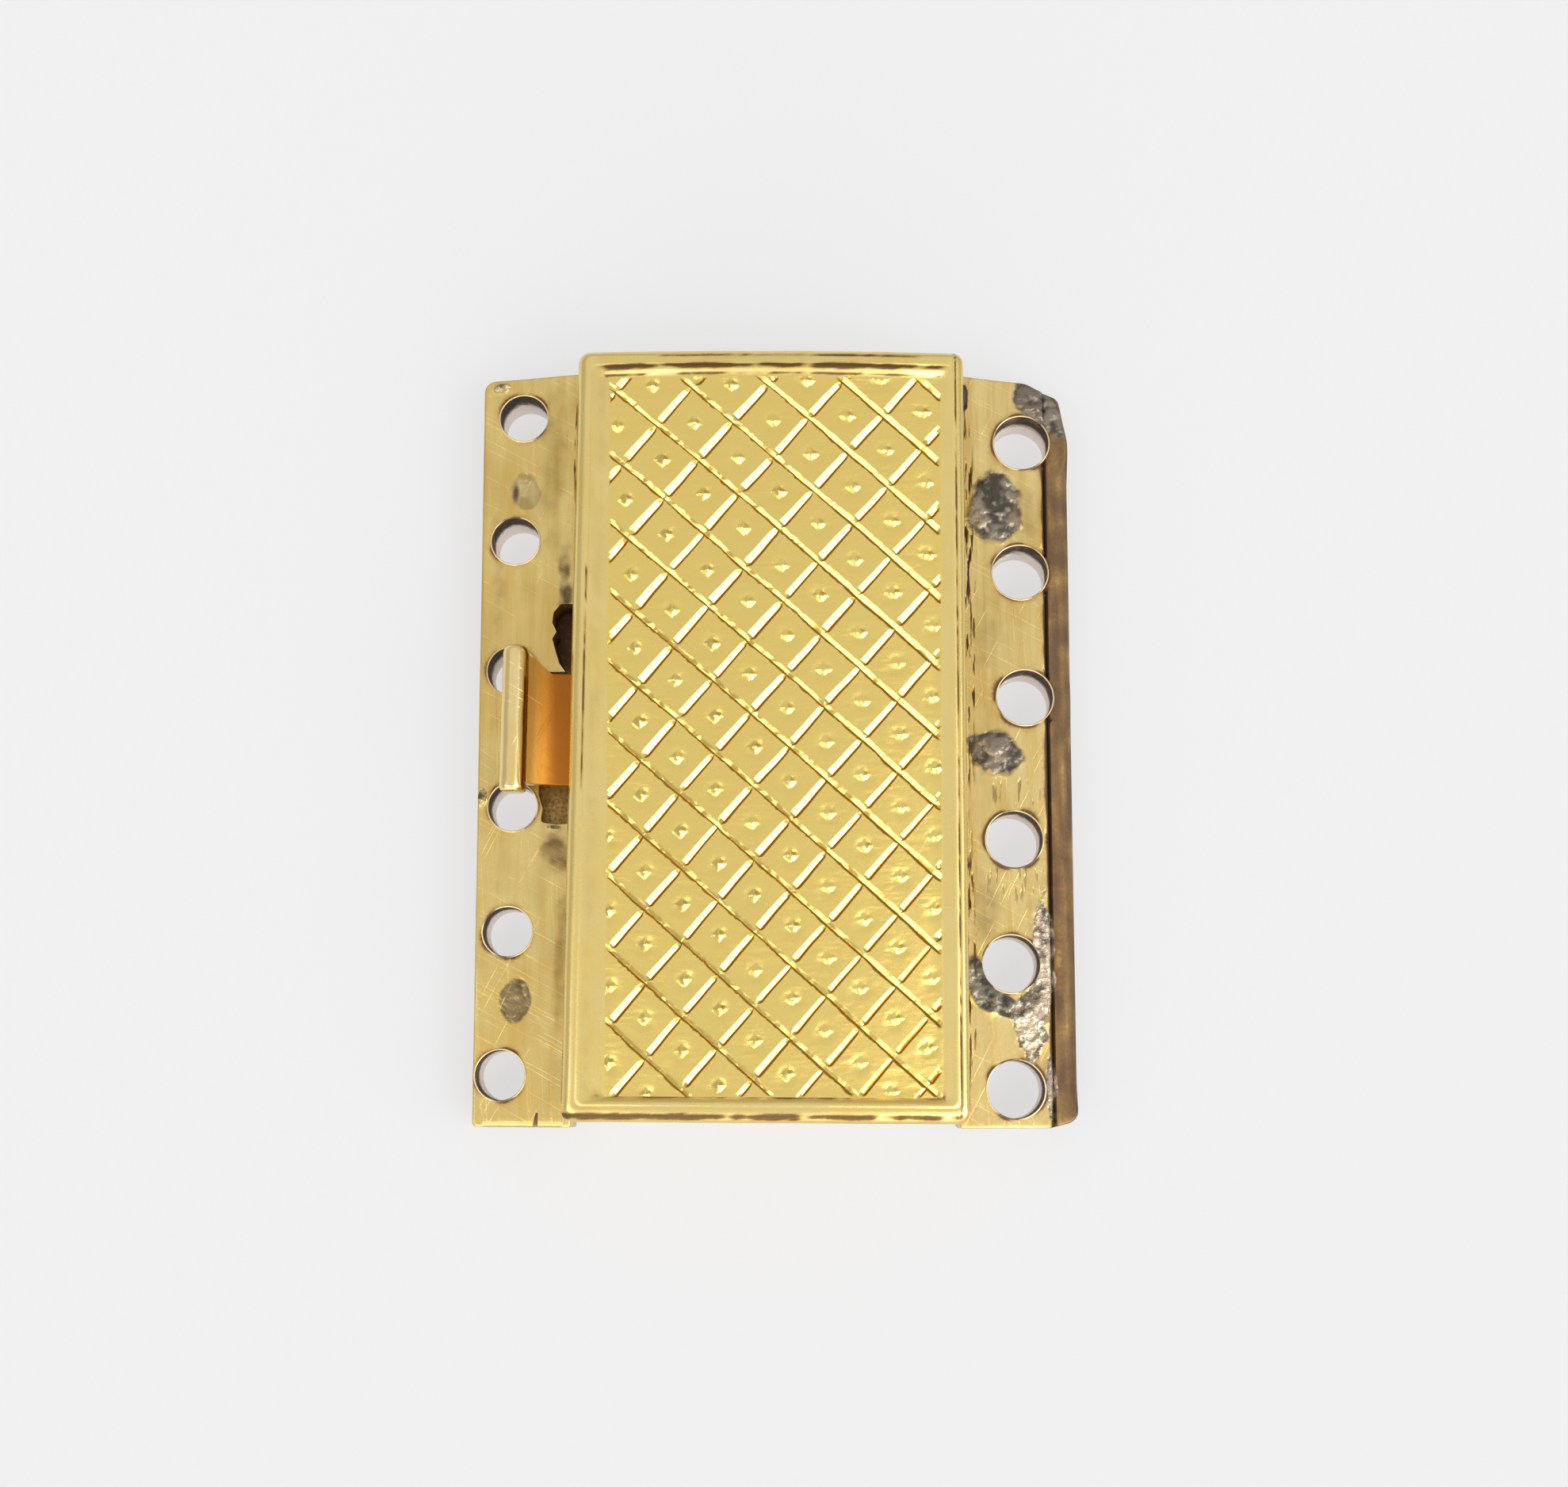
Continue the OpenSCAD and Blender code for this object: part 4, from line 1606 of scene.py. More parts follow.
    def free_points(self, loop: np.ndarray, circles: Sequence[np.ndarray]) -> np.ndarray:
        """Spreads points over the top, closer beside the holes and along the folds.

        Args:
            loop: The outline.
            circles: The holes' circles.

        Returns:
            The points, one row each.
        """
        low, high = loop.min(0), loop.max(0)
        rows = np.arange(low[1], high[1], self.spacing * 0.87)
        columns = np.arange(low[0], high[0], self.spacing)
        grid = [
            (x + (0.5 * self.spacing if k % 2 else 0.0), y)
            for k, y in enumerate(rows) for x in columns
            if all(abs(x - line) > self.spacing * 0.6 for line in self.lines)
        ]
        grid += [(line, y) for line in self.lines for y in rows]
        spread = np.array(grid)
        spread = spread[inside(spread, loop)]
        spread = spread[clearance(spread, loop) > self.spacing * 0.55]
        collars = []
        for hole, circle in zip(self.holes, circles):
            middle = np.array((hole.x, hole.y))
            far = np.linalg.norm(spread - middle, axis=1)
            reach = np.linalg.norm(circle[0] - middle)
            spread = spread[far > reach + self.spacing * 1.3]
            for n, factor in enumerate((0.45, 1.0)):
                collars.append(middle + spokes((n + 1) / 2) * (reach + self.spacing * factor))
        ring = np.concatenate(collars)
        ring = ring[inside(ring, loop)]
        ring = ring[clearance(ring, loop) > self.spacing * 0.4]
        for hole in self.holes:
            far = np.linalg.norm(ring - (hole.x, hole.y), axis=1)
            ring = ring[far > hole.r + self.hole_gap + 0.02]
        return np.concatenate([spread, ring])


@dataclass(frozen=True)
class ShadedBore:
    """The skin inside the holes: brown-black patina and painted shade above, and pale below, a painted
    reflection of the floor.

    Attributes:
        name: The material's name.
        deep: Its darker colour.
        pale: Its lighter colour.
        low: Its colour near the floor, the painted reflection of the floor.
        fade: The heights between which it turns from low to dark.
    """

    name: str = "dark_bore"
    deep: Colour = (0.035, 0.02, 0.011)
    pale: Colour = (0.15, 0.095, 0.06)
    low: Colour = (0.9, 0.82, 0.75)
    fade: tuple[float, float] = (0.75, 1.15)

    def material(self) -> bpy.types.Material:
        """Builds the material.

        Returns:
            The material.
        """
        made = bpy.data.materials.new(self.name)
        t = emptied(made)
        place = t.place()
        blots = t.noise(place, 1.8, 4.0, 0.65)
        skin = t.blend(blots.step(0.45, 0.68), self.deep, self.pale)
        rise = t.parts(place)[2] + (blots - 0.5) * 0.8
        # Painted light: the low colour stands for the floor's reflection, and the brown-black skin above is
        # patina and painted shade.
        surface_shader(t, {
            "Base Color": t.blend(rise.step(*self.fade), self.low, skin),
            "Roughness": (blots * 0.5 + 0.35).clamp(),
            "Normal": t.bump(blots * 0.06),
            "Specular IOR Level": 0.12,
        })
        return made


@dataclass
class Liners:
    """The short tubes that line a bar's holes, one instance to a hole.

    Attributes:
        name: The piece's name.
        holes: The holes.
        height: The bar's thickness.
        wall: The tubes' wall.
        proud: How far the tubes stand above the bar.
        tilt: How far they may lean, in radians.
        seed: The seed of their small tilts.
    """

    name: str
    holes: Sequence[Hole]
    height: float
    wall: float = 0.05
    proud: float = 0.015
    tilt: float = 0.006
    seed: int = 4

    def tree(self) -> bpy.types.NodeTree:
        """Builds the tree that sets a rounded tube at each hole.

        Returns:
            The tree.
        """
        t, sizes = shape_tree(self.name, "Holes", ("Radius", "Wall", "Length", "Tilt"), "Liners", "Seed")
        path = t.make("GeometryNodeCurvePrimitiveCircle", {
            "Radius": sizes["Radius"] + sizes["Wall"] * 0.5, "Resolution": 72,
        })
        section = t.make("GeometryNodeCurvePrimitiveQuadrilateral", {
            "Width": sizes["Wall"], "Height": sizes["Length"],
        })
        rounded = t.make("GeometryNodeFilletCurve", {
            "Curve": section, "Radius": sizes["Wall"] * 0.42, "Count": 4,
        }, mode="POLY")
        liner = t.make("GeometryNodeCurveToMesh", {"Curve": path, "Profile Curve": rounded})
        tilt = t.node("FunctionNodeRandomValue", {"Seed": sizes["Seed"]}, data_type="FLOAT_VECTOR")
        put(t.tree, tilt.inputs[0], t.vector(-sizes["Tilt"], -sizes["Tilt"], 0.0))
        put(t.tree, tilt.inputs[1], t.vector(sizes["Tilt"], sizes["Tilt"], FULL_TURN))
        spread = t.make("GeometryNodeInstanceOnPoints", {
            "Points": sizes["Holes"], "Instance": liner, "Rotation": t.out(tilt),
        })
        return dressed(t, "Liners", spread, sizes["Finish"])

    def build(self, finish: GoldFinish, body: Body, slot: str) -> bpy.types.Object:
        """Builds the tubes as one piece.

        Args:
            finish: The rims' finish.
            body: The bar's body.
            slot: The bar's slot; not used.

        Returns:
            The piece.
        """
        base = bpy.data.meshes.new("hole_places")
        length = self.height + self.proud
        base.from_pydata([(h.x * MM, h.y * MM, length / 2 * MM) for h in self.holes], [], [])
        gold = finish.material()
        mesh = grown(self.name, self.tree(), {
            "Radius": self.holes[0].r * MM, "Wall": self.wall * MM, "Length": length * MM,
            "Tilt": self.tilt, "Seed": self.seed, "Finish": gold,
        }, base)
        tidy_normals(mesh)
        # The film grows darker down into the hole and is broken up round the rim by noise.
        paint(mesh, lambda x, y, z: (length - 0.03 - z) * 9.0 + waves(x, y, (1.0, 0.8), 3.0) * 2.5)
        for material in (gold, ShadedBore().material()):
            mesh.materials.append(material)
        for face in mesh.polygons:
            middle, way = face.center / MM, face.normal
            hole = min(self.holes, key=lambda h: math.hypot(middle.x - h.x, middle.y - h.y))
            inward = way.x * (hole.x - middle.x) + way.y * (hole.y - middle.y) > 0.5 * hole.r
            face.material_index = int(inward and middle.z < length - 0.04)
        smooth(mesh, 50.0)
        return settle(mesh, gold, body)


@dataclass
class TongueBar:
    """The bar on the left with its six lined holes, two notches and a cleft.

    Attributes:
        low: The node's lowest corner.
        high: Its highest corner.
        thick: The bar's thickness.
        near_width: Its width at the near end.
        deep_notch: The notch beside the strip: how far in from the inner edge, Y and rounding.
        shallow_notch: The notch under the strip.
        cleft: The cleft in the near end.
        dents: Where soldering left it a little dented.
        finish: Its finish.
    """

    low: Vector
    high: Vector
    thick: float = 1.8
    near_width: float = 3.085
    deep_notch: Sequence[Point3] = (
        (-1.0, 4.42, 0), (0.72, 4.38, 0.1), (0.95, 4.1, 0.1), (0.98, 3.76, 0.05), (0.84, 3.46, 0.05),
        (0.97, 3.22, 0.05), (0.85, 2.8, 0.1), (0.72, 2.4, 0.1), (0.5, 2.1, 0.1), (-1.0, 2.06, 0),
    )
    shallow_notch: Sequence[Point3] = (
        (-1.0, 2.15, 0), (1.3, 2.12, 0.1), (1.28, -1.9, 0.2), (1.14, -2.35, 0.1), (1.2, -2.8, 0.12),
        (0.7, -2.88, 0.1), (-1.0, -2.72, 0),
    )
    cleft: Sequence[Point3] = (
        (1.03, -11.95, 0.02), (1.1, -11.96, 0.02), (1.27, -12.7, 0), (1.02, -12.7, 0),
    )
    dents: Sequence[Point] = ((-7.9, -8.45), (-8.1, 8.2))
    finish: GoldFinish = GoldFinish(
        name="worn_tongue_gold",
        clean=(0.77, 0.59, 0.23),
        deep=(0.62, 0.42, 0.12),
        film_and_shade=(0.07, 0.03, 0.009),
        roughness=0.3,
        streaks=(2.6, 0.16, 1.0),
        streak_share=0.6,
        scratches=0.6,
        marks=(
            Mark((-8.1, 8.2), (0.5, 0.66), (0.36, 0.33, 0.2), MarkKind.SOLDER, share=0.45, ragged=0.5),
            Mark((-8.4, 8.1), (0.14, 0.5), (0.16, 0.1, 0.05), ragged=0.5),
            Mark((-7.95, -8.45), (0.55, 0.75), (0.19, 0.14, 0.07), MarkKind.SOLDER, share=0.85, ragged=0.25),
            Mark((-6.7, 5.3), (0.26, 1.3), (0.1, 0.05, 0.02), ragged=0.9),
            Mark((-6.62, 4.7), (0.14, 0.5), (0.05, 0.03, 0.02), ragged=0.6),
            Mark((-6.75, -3.7), (0.5, 0.9), (0.2, 0.1, 0.03), ragged=0.9),
            Mark((-8.9, 5.0), (0.3, 2.5), (0.45, 0.27, 0.14), share=0.5, ragged=0.8),
            Mark((-6.4, 9.6), (0.1, 2.2), (0.06, 0.03, 0.01), MarkKind.DASHES),
            Mark((-7.2, 9.0), (0.5, 3.0), (0.5, 0.32, 0.08), share=0.5, ragged=0.8),
            # Burrs, raised a little and given the rough solder's colouring; their pale crumbs are painted
            # glints.
            Mark((-8.98, 11.74), (0.3, 0.16), (0.43, 0.33, 0.16), MarkKind.CRUMBS, 15, rise=0.08, ragged=0.5),
            Mark((-9.18, -2.0), (0.14, 0.3), (0.43, 0.32, 0.14), MarkKind.CRUMBS, rise=0.06, ragged=0.5),
            Mark((-6.85, -2.95), (0.25, 0.06), (0.43, 0.33, 0.16), MarkKind.CRUMBS, rise=0.03, ragged=0.3),
            Mark((-6.5, -7.0), (0.3, 3.0), (0.35, 0.2, 0.06), share=0.6, ragged=0.8),
        ),
    )

    def top(self, x: float, y: float) -> float:
        """Gives the bar's soft, slightly dented top."""
        soft = waves(x, y, (0.7, 0.35), 1.0) * 0.02
        small = waves(x, y, (2.1, 1.4), 4.0) * 0.006
        dish = sum(-0.05 * math.exp(-((x - px) ** 2 + (y - py) ** 2) / 0.12) for px, py in self.dents)
        burrs = sum(m.height(x, y) for m in self.finish.marks)
        return self.thick - 0.012 + soft + small + dish + burrs

    def build(self) -> list[bpy.types.Object]:
        """Builds the bar and its liners.

        Returns:
            The two pieces.
        """
        inner, outer = self.high.x, self.low.x
        rim = outline([
            (outer, self.high.y - 0.32, 0.4), (inner - self.near_width, self.low.y, 0.16),
            (inner, self.low.y, 0.09), (inner, self.high.y, 0.09),
        ])
        holes = Hole.row("strand_l")
        mesh = Slab("tongue_bar_sheet", rim, holes, self.top, self.edge).mesh()
        for reach, low in ((self.deep_notch, 0.5), (self.shallow_notch, 1.25), (self.cleft, -1.0)):
            mesh = carved(mesh, prism([(inner - x, y, r) for x, y, r in reach], low, 3.0))
        paint(mesh, self.film_and_shade)
        smooth(mesh, 40.0)
        bar = settle(mesh, self.finish.material(), Body.TONGUE, ["tongue_bar"])
        liners = Liners("tongue_liners", holes, self.thick).build(LINER_FINISH, Body.TONGUE, "tongue_gold")
        return [bar, liners]

    def edge(self, x: float, y: float) -> float:
        """Gives the rounding of the top edge, widest at the near end."""
        return 0.2 if y < self.low.y + 0.05 and x < self.high.x - 0.25 and x > self.low.x + 0.7 else 0.08

    def film_and_shade(self, x: float, y: float, z: float) -> float:
        """Gives the film along the case and in the holes, and painted shade in the notches: dark in the deep
        one, lighter under the strip.
        """
        if z < self.thick - 0.12:
            # In the notches the film is painted shade: full in the deep notch, about half in the shallow
            # notch under the strip.
            if x < self.high.x - 1.35 or not -2.95 < y < 4.45:
                return 0.4
            return 1.0 if y > 2.2 else 0.56
        blotch = max(0.0, waves(x, y, (1.5, 0.5), 7.0)) * 0.25
        return blotch + hole_film(Hole.row("strand_l"), x, y) * 0.7


@dataclass
class EndBar:
    """The bar soldered to the right of the case, with six lined holes and a rounded rail.

    Attributes:
        low: The node's lowest corner.
        high: Its highest corner.
        thick: The bar's thickness.
        rail: The rail's width.
        rail_lines: Where rows of the mesh's points run beside the rail's inner edge.
        rim: The outline's points: shares of the width, places along Y and rounding.
        finish: Its finish.
    """

    low: Vector
    high: Vector
    thick: float = 1.8
    rail: float = 0.85
    rail_lines: Sequence[float] = (-0.1, -0.05, -0.02, 0.01, 0.04, 0.07, 0.12, 0.2)
    rim: Sequence[Point3] = (
        (0, -12.36, 0.12), (0.76, -12.33, 0), (0.99, -12.1, 0.45), (1, 9.96, 2), (0.92, 11.46, 0.35),
        (0.61, 11.98, 2), (0, 12.27, 0.12),
    )
    finish: GoldFinish = GoldFinish(
        name="worn_end_gold",
        clean=(0.8, 0.63, 0.27),
        deep=(0.6, 0.42, 0.14),
        film_and_shade=(0.085, 0.04, 0.022),
        film_and_shade_dull=0.45,
        film_and_shade_speckle=0.35,
        roughness=0.32,
        streaks=(2.8, 0.2, 1.0),
        streak_share=0.7,
        scratches=0.7,
        marks=(
            Mark((7.35, 7.6), (0.95, 1.3), (0.27, 0.23, 0.17), MarkKind.SOLDER, rise=0.08, ragged=0.35),
            Mark((7.3, -0.5), (1.0, 0.75), (0.23, 0.19, 0.14), MarkKind.SOLDER, -25, rise=0.06, ragged=0.35),
            Mark((8.85, 11.1), (1.4, 0.55), (0.17, 0.14, 0.1), MarkKind.SOLDER, -48, rise=0.12, ragged=0.35),
            Mark((6.75, -7.85), (0.5, 1.05), (0.23, 0.2, 0.15), MarkKind.SOLDER, 20, rise=0.05, ragged=0.3),
            Mark((7.4, -8.5), (0.7, 0.34), (0.18, 0.16, 0.12), MarkKind.SOLDER, -25, rise=0.05, ragged=0.3),
            Mark((8.7, -7.2), (0.4, 2.6), (0.52, 0.4, 0.29), MarkKind.CRUMBS, rise=0.05, ragged=0.5),
            Mark((8.3, -9.0), (0.55, 1.3), (0.56, 0.43, 0.3), MarkKind.CRUMBS, rise=0.06, ragged=0.6),
            Mark((8.9, -11.0), (0.22, 1.1), (0.34, 0.27, 0.2), MarkKind.CRUMBS, rise=0.03, ragged=0.6),
            Mark((6.35, 11.5), (0.2, 0.5), (0.08, 0.06, 0.05), MarkKind.SOLDER, ragged=0.3),
            Mark((6.45, 5.0), (0.3, 8.0), (0.07, 0.03, 0.01), MarkKind.DASHES, ragged=0.2),
            Mark((6.4, -7.0), (0.25, 5.0), (0.12, 0.05, 0.015), MarkKind.DASHES, ragged=0.2),
            Mark((7.8, -1.7), (1.2, 0.6), (0.2, 0.1, 0.03), MarkKind.DASHES, share=0.6),
            Mark((7.9, -4.6), (1.3, 0.7), (0.25, 0.12, 0.04), MarkKind.DASHES, share=0.5),
            Mark((6.9, -5.4), (0.7, 1.4), (0.36, 0.2, 0.06), share=0.6, ragged=0.7),
            Mark((8.3, 7.6), (0.5, 1.2), (0.42, 0.25, 0.1), share=0.5, ragged=0.7),
            Mark((7.0, 3.4), (0.7, 1.2), (0.45, 0.3, 0.1), share=0.5, ragged=0.7),
        ),
    )

    @property
    def inner(self) -> float:
        """Where the rail's inner edge runs along X."""
        return self.high.x - self.rail

    def top(self, x: float, y: float) -> float:
        """Gives the sheet, the groove beside the rail and the rail's crown, with the solder on it."""
        soft = waves(x, y, (0.7, 0.3), 11.0) * 0.02
        inner = self.inner
        groove = -0.2 * math.exp(-(((x - inner - 0.03) / 0.045) ** 2))
        rail = -0.09 if x > inner + 0.03 else 0.0
        solder = sum(m.height(x, y) for m in self.finish.marks)
        return self.thick - 0.015 + soft + groove * (0.35 if y > 9.6 else 1.0) + rail + solder

    def build(self) -> list[bpy.types.Object]:
        """Builds the bar with its rail, and its liners.

        Returns:
            The two pieces.
        """
        width = self.high.x - self.low.x
        rim = outline([(self.low.x + share * width, y, r) for share, y, r in self.rim])
        holes = Hole.row("strand_r")
        lines = [self.inner + off for off in self.rail_lines]
        mesh = Slab("end_bar_sheet", rim, holes, self.top, self.edge, lines=lines).mesh()
        paint(mesh, self.film_and_shade)
        smooth(mesh, 40.0)
        bar = settle(mesh, self.finish.material(), Body.CASE, ["end_bar"])
        liners = Liners("end_liners", holes, self.thick, seed=9)
        return [bar, liners.build(LINER_FINISH, Body.CASE, "end_bar_gold")]

    def edge(self, x: float, y: float) -> float:
        """Gives the rounding: wide on the rail's outer side, narrow elsewhere."""
        outer = max(0.0, min(1.0, (x - self.high.x + 0.5) / 0.4))
        ends = max(0.0, min(1.0, y + 12.0, 9.6 - y))
        return 0.09 + 0.36 * outer * ends

    def film_and_shade(self, x: float, y: float, z: float) -> float:
        """Gives the film: thick in the groove and on the rail, thin along the case."""
        inner = self.inner
        if z < self.thick - 0.3 and x < inner:
            return 0.5
        streak = waves(x, y, (5.0, 0.5), 3.0) + waves(x, y, (2.0, 1.6), 8.0)
        rail = 0.8 + 0.25 * streak if x > inner + 0.06 else 0.0
        wide = 0.06 if y > 4.0 else 0.0
        ragged = 0.1 + wide + 0.09 * waves(1.0, y, (1.0, 0.9), 4.0)
        groove = (1.5 + 1.2 * streak) * math.exp(-(((x - inner - 0.02 - wide) / ragged) ** 2))
        return max(rail, groove, hole_film(Hole.row("strand_r"), x, y) * 1.5)


@dataclass
class Latch:
    """The spring leaf with its fold, catch and strip, and the thumb tab's folded lip.

    Attributes:
        low: The node's lowest corner.
        high: Its highest corner.
        sheet: The sheet's thickness.
        fold: The fold's middle along X and Z.
        catch: The catch's front and back along X.
        slot_top: The top of the case's slot.
        under: The height of the strip's underside.
        strip: The strip's ends along Y.
        lip: The lip's ends along Y.
        lip_x: The lip's sides along X.
        lip_foot: The height of the lip's foot.
        bare_under: Below this height the film is thin.
        finish: Its finish.
    """

    low: Vector
    high: Vector
    sheet: float = 0.3
    fold: Point = (4.2, 1.0)
    catch: tuple[float, float] = (-5.45, -5.1)
    slot_top: float = 1.9
    under: float = 2.35
    strip: tuple[float, float] = (-1.73, 1.87)
    lip: tuple[float, float] = (-2.02, 2.68)
    lip_x: tuple[float, float] = (-8.45, -7.65)
    lip_foot: float = 2.55
    bare_under: float = 2.25
    finish: GoldFinish = GoldFinish(
        name="polished_latch_gold",
        clean=(0.88, 0.7, 0.34),
        deep=(0.76, 0.52, 0.15),
        # This amber is painted shade and painted reflection of the case on the strip.
        film_and_shade=(0.36, 0.11, 0.005),
        film_and_shade_dull=0.0,
        film_and_shade_speckle=0.15,
        roughness=0.22,
        streaks=(3.0, 0.2, 1.0),
        streak_share=0.35,
        grain=0.0015,
    )

    def build(self) -> bpy.types.Object:
        """Builds the latch in one piece.

        Returns:
            The piece.
        """
        half = (self.high.y - self.low.y) / 2
        leaf = swept("latch", self.leaf_profile(), -half, half, 0.04)
        strip = swept("strip", self.strip_profile(), self.strip[0], self.strip[1], 0.03)
        mesh = carved(carved(leaf, strip, "UNION"), self.flare(), "UNION")
        mesh = carved(mesh, self.lip_mesh(), "UNION")
        paint(mesh, self.film_and_shade)
        smooth(mesh, 45.0)
        return settle(mesh, self.finish.material(), Body.LATCH, ["latch_spring"])

    def flare(self) -> bpy.types.Mesh:
        """Makes the strip's far corner, which widens to the lip's far end.

        Returns:
            The mesh.
        """
        start, side, end = self.lip_x[1] - 0.05, self.strip[1] - 0.08, self.lip[1] - 0.2
        wide = swept("flare", self.strip_profile(), side - 0.2, end, 0.03)
        slant = [
            (start, end, 0.0), (start + 0.85, side, 0.3), (-4.5, side, 0.0), (-4.5, end + 1, 0.0),
            (start, end + 1, 0.0),
        ]
        return carved(wide, prism(slant, 0.0, 5.0))

    def film_and_shade(self, x: float, y: float, z: float) -> float:
        """Gives the film, which deepens on the strip towards the case as painted shade and painted reflection
        of the case's side.
        """
        if z < self.bare_under:
            return 0.15
        if x < self.lip_x[1] + 0.02:
            return 0.0
        return 0.42 + 0.74 * (x - self.lip_x[1]) / 1.2

    def leaf_profile(self) -> list[Point]:
        """Gives the side view of the fold, the leaf and the catch.

        Returns:
            Points along X and Z.
        """
        inner = self.sheet / 2 + 0.05
        outer = inner + self.sheet
        turns = [math.pi * k / 16 for k in range(17)]
        front, back = self.catch
        top = self.slot_top - 0.05
        crest = self.slot_top + 0.25
        return (
            arc_points(self.fold, outer, turns)
            + arc_points(self.fold, inner, turns[::-1])
            + [(back, top - self.sheet), (front, top - self.sheet), (front, crest), (back, crest)]
            + [(back, top)]
        )

    def strip_profile(self) -> list[Point]:
        """Gives the side view of the riser and the strip that curves up to the lip.

        Returns:
            Points along X and Z.
        """
        front, back = self.catch
        foot, under = self.slot_top - 0.05 - self.sheet, self.under
        start, radius = -6.45, 1.7
        middle = (start, under + self.sheet + radius)
        upper = [math.radians(52 * k / 12) for k in range(13)]
        lower = [math.radians(26 * k / 10) for k in range(10, -1, -1)]
        lip = sum(self.lip_x) / 2
        return (
            [(front, foot), (back, foot), (back, under + self.sheet)]
            + arc_points(middle, -radius, upper)
            + [(lip, middle[1] - radius * math.cos(upper[-1])), (lip, self.lip_foot)]
            + arc_points(middle, -radius - self.sheet, lower)
            + [(front, under)]
        )

    def lip_mesh(self) -> bpy.types.Mesh:
        """Makes the folded lip, whose section shrinks to rounded ends.

        Returns:
            The mesh.
        """
        x0, x1 = self.lip_x
        z0, z1 = self.lip_foot, self.high.z
        section = outline([(x0, z0, 0.2), (x1, z0, 0.1), (x1, z1, 0.37), (x0, z1, 0.37)], 8)
        cx, cz = (x0 + x1) / 2, (z0 + z1) / 2
        y0, y1 = self.lip
        round_near, round_far = 0.16, 0.3
        rising, falling = np.linspace(0.25, math.pi / 2, 7), np.linspace(math.pi / 2, 0.25, 7)
        stops = [(y0 + round_near * (1 - math.cos(a)), math.sin(a)) for a in rising]
        stops += [(y0 + (y1 - y0) * k / 24, 1.0) for k in range(2, 23)]
        stops += [(y1 - round_far * (1 - math.cos(a)), math.sin(a)) for a in falling]
        rings = []
        for y, full in stops:
            size = 1 - 0.42 * (1 - full)
            wave = 0.012 * waves(0.0, y, (1.0, 1.2), 6.0)
            rings.append([(cx + (p.x - cx) * size + wave, y, cz + (p.y - cz) * size) for p in section])
        return tidy_normals(tube("lip", rings))


LINER_FINISH = GoldFinish(
    name="rim_gold",
    clean=(0.92, 0.76, 0.46),
    deep=(0.68, 0.48, 0.2),
    film_and_shade=(0.12, 0.075, 0.04),
    roughness=0.36,
    grain=0.002,
    scratches=0.1,
)
LEAF_FINISH = GoldFinish(
    name="plain_leaf_gold",
    clean=(0.74, 0.56, 0.24),
    deep=(0.6, 0.42, 0.15),
    roughness=0.34,
    streaks=(0.3, 3.0, 1.0),
)


# Stage

WHITE = (1.0, 1.0, 1.0, 1.0)
BACKDROP_STRENGTH = 0.87  # the room as the camera sees it
CROWN_MM = 0.4  # how much higher the dome's middle is than its edges
PANEL = PanelOutline(-5.16, -4.84, 5.46, 5.36, -11.45, 11.25)


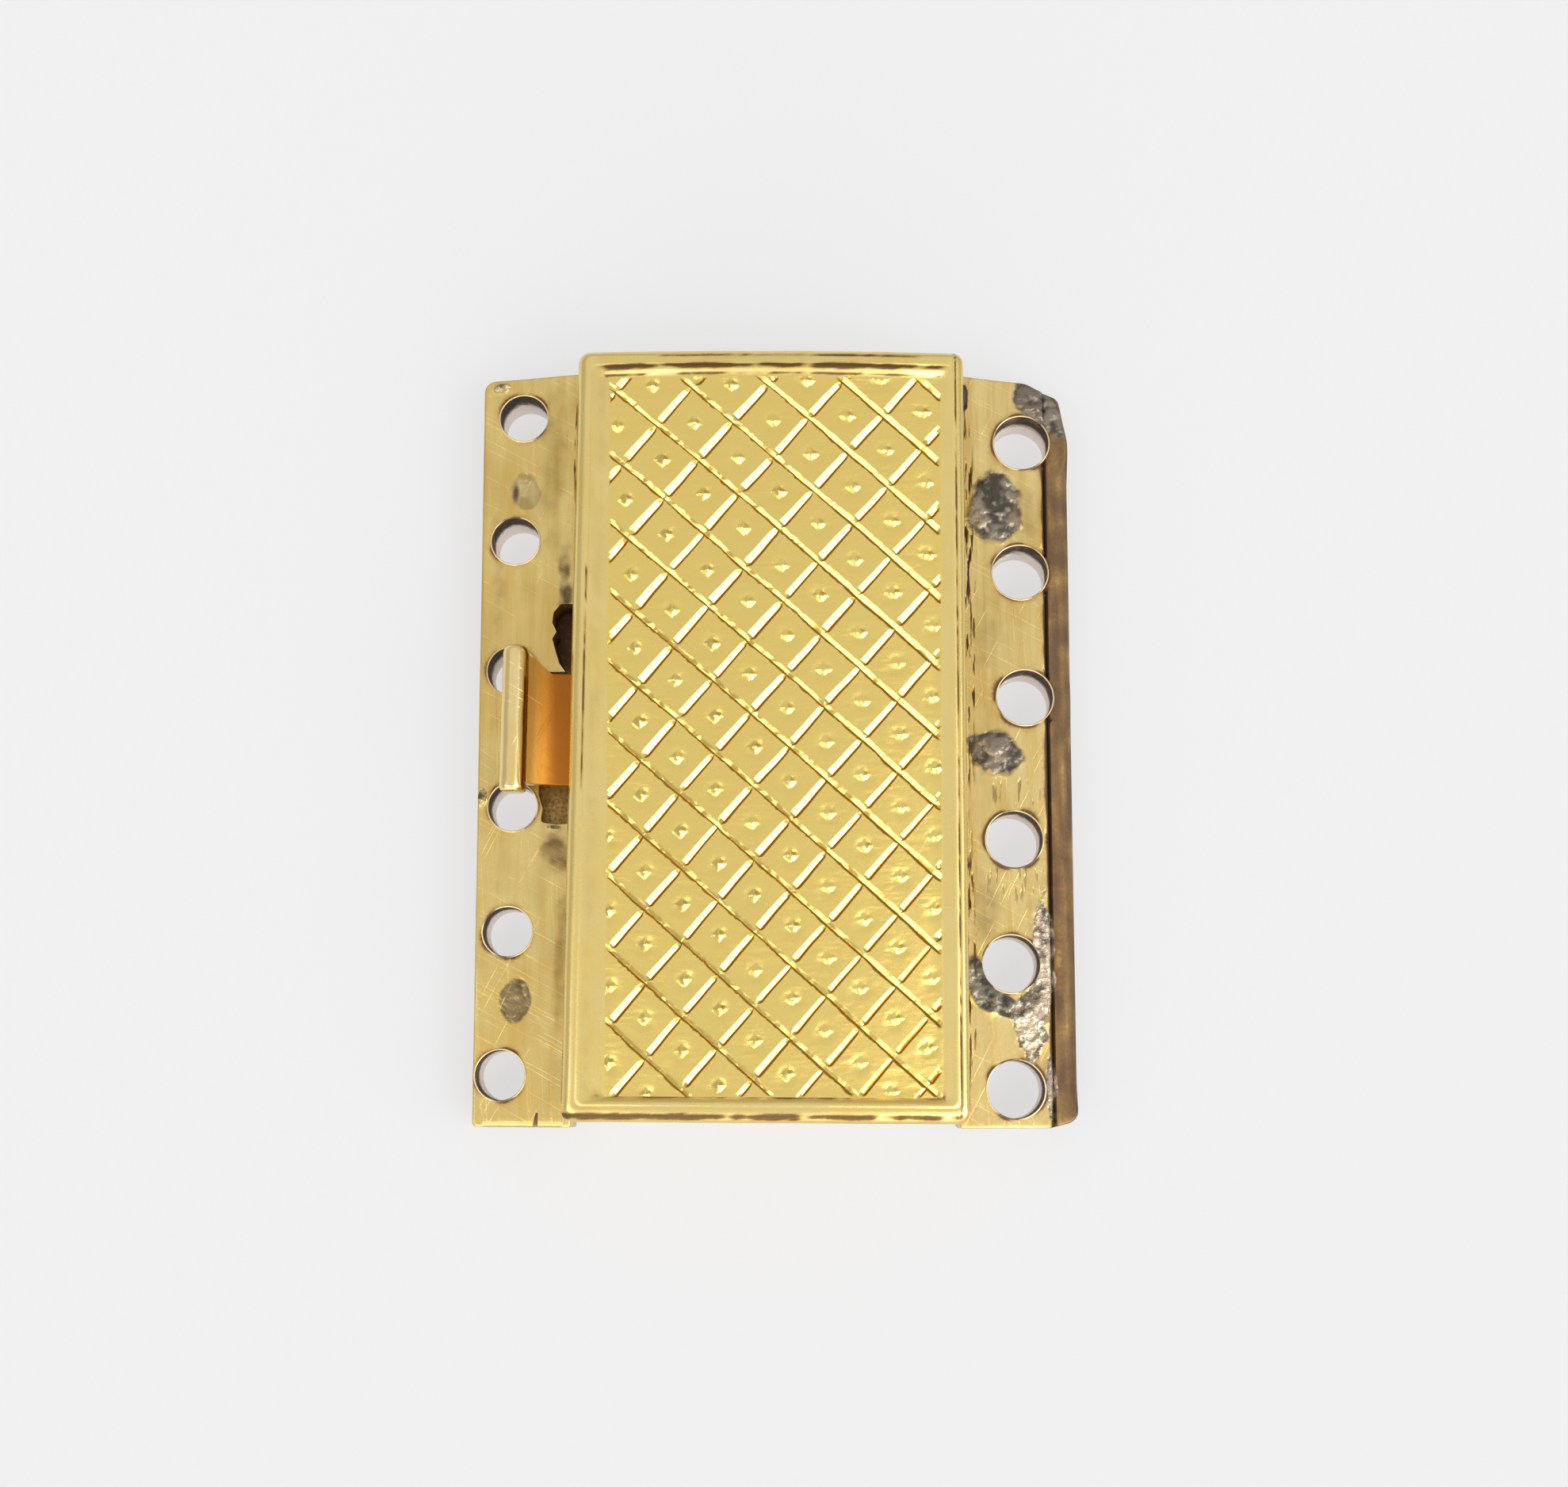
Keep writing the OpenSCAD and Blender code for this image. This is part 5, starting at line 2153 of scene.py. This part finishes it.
@dataclass(frozen=True)
class Studio:
    """The pale floor, the soft light and the camera.

    Attributes:
        eye: The camera's place, in millimetres.
        tilt: Its lean from straight down, in degrees.
        yaw: Its turn about Y, in degrees.
        roll: Its turn about its own axis, in degrees.
        focal_px: Its focal length in pixels of the photograph's frame.
        frame_px: The photograph's width in pixels.
    """

    eye: Point3 = (1.179, -11.868, 67.1)
    tilt: float = 10.124
    yaw: float = 0.606
    roll: float = 0.347
    focal_px: float = 2600.0
    frame_px: float = 1978.0

    def build(self) -> None:
        """Adds the camera, the floor, the lights and the surroundings."""
        self.camera()
        self.floor()
        self.lights()
        self.surroundings()
        bpy.context.scene.view_settings.view_transform = "Standard"

    def camera(self) -> None:
        """Sets the camera at the photograph's angle."""
        data = bpy.data.cameras.new("camera")
        data.sensor_width = 36.0
        data.lens = self.focal_px / self.frame_px * data.sensor_width
        data.clip_start, data.clip_end = 0.002, 10.0
        camera = linked("camera", data)
        turn = (
            Matrix.Rotation(math.radians(self.yaw), 4, "Y")
            @ Matrix.Rotation(math.radians(self.tilt), 4, "X")
            @ Matrix.Rotation(math.radians(self.roll), 4, "Z")
        )
        camera.matrix_world = Matrix.Translation(Vector(self.eye) * MM) @ turn
        bpy.context.scene.camera = camera

    def floor(self) -> None:
        """Lays the pale floor."""
        mesh = bpy.data.meshes.new("floor")
        with edited(mesh) as shape:
            bmesh.ops.create_grid(shape, x_segments=8, y_segments=8, size=1.5)
        pale = bpy.data.materials.new("pale_floor")
        pale.use_nodes = True
        values = {
            "Base Color": (0.15, 0.15, 0.151, 1.0), "Emission Color": WHITE, "Emission Strength": 0.63,
            "Roughness": 0.75, "Specular IOR Level": 0.2,
        }
        for name, value in values.items():
            pale.node_tree.nodes["Principled BSDF"].inputs[name].default_value = value
        mesh.materials.append(pale)
        floor = linked("floor", mesh)

    def lights(self) -> None:
        """Hangs one large soft light overhead."""
        data = bpy.data.lights.new("overhead", "AREA")
        data.size = 0.3
        data.energy = 0.02
        light = linked("overhead", data)
        light.location = (0.0, 0.05, 0.35)
        light.rotation_mode = "QUATERNION"
        light.rotation_quaternion = light.location.to_track_quat("Z", "Y")
        light.visible_camera = False
        light.visible_glossy = False

    def surroundings(self) -> None:
        """Makes the white room, with lights to the right, the left and the near side."""
        world = bpy.data.worlds.new("white_room")
        t = emptied(world)
        x, y, z = t.parts(t.out(t.node("ShaderNodeTexCoord"), "Generated"))
        ceiling = (z + y.math("MAXIMUM", 0.0) * 0.5).step(0.78, 0.92)
        toward, aside = x * 0.75 - y * 0.66, x * 0.66 + y * 0.75
        right = toward.window((0.32, 0.42), (0.88, 0.98)) * z.step(0.3, 0.45)
        right = right * aside.window((-0.3, -0.2), (0.42, 0.54))
        toward, aside = x * -0.6 - y * 0.8, x * 0.8 - y * 0.6
        left = toward.window((0.34, 0.44), (0.6, 0.74)) * z.step(0.35, 0.5)
        left = left * aside.window((-0.6, -0.5), (0.16, 0.26))
        near = (-y).step(0.5, 0.7) * z.step(0.1, 0.25)
        strip = (-y).step(0.74, 0.84) * z.window((-0.05, 0.05), (0.5, 0.62))
        room = ceiling * 0.26 + right * 4.3 + left * 2.5 + near * 0.25 + strip * 2.4 + 0.58
        seen = t.out(t.node("ShaderNodeLightPath"), "Is Camera Ray")
        strength = room * (1.0 - seen) + seen * BACKDROP_STRENGTH
        back = t.make("ShaderNodeBackground", {"Strength": strength, "Color": WHITE})
        t.end("ShaderNodeOutputWorld", "Surface", back)
        bpy.context.scene.world = world


def dress_leaf() -> None:
    """Gives the tongue's leaf, which stays as the frame has it, its finish."""
    leaf = frame["nodes"]["tongue_leaf"]
    gold = LEAF_FINISH.material()
    for slot in leaf.material_slots:
        slot.material = gold
    if not leaf.material_slots:
        leaf.data.materials.append(gold)
    log.info("tongue_leaf: dressed")


def main() -> None:
    """Builds the clasp and its stage, and reports each piece."""
    logging.basicConfig(level=logging.INFO, format="%(relativeCreated)d %(name)s %(message)s")
    Studio().build()
    _, case_high = box_mm("case")
    side, _, end, _ = CaseShell.rim
    half_w, half_l = case_high.x - side, case_high.y - end
    dome = Dome(half_w, case_high.z - CROWN_MM, CROWN_MM)
    CaseShell(dome, PANEL, half_w, half_l).build()
    EngravedPlate(dome, PANEL).build()
    TongueBar(*box_mm("tongue_bar")).build()
    EndBar(*box_mm("end_bar")).build()
    Latch(*box_mm("latch_spring")).build()
    dress_leaf()


if __name__ == "__main__":
    main()
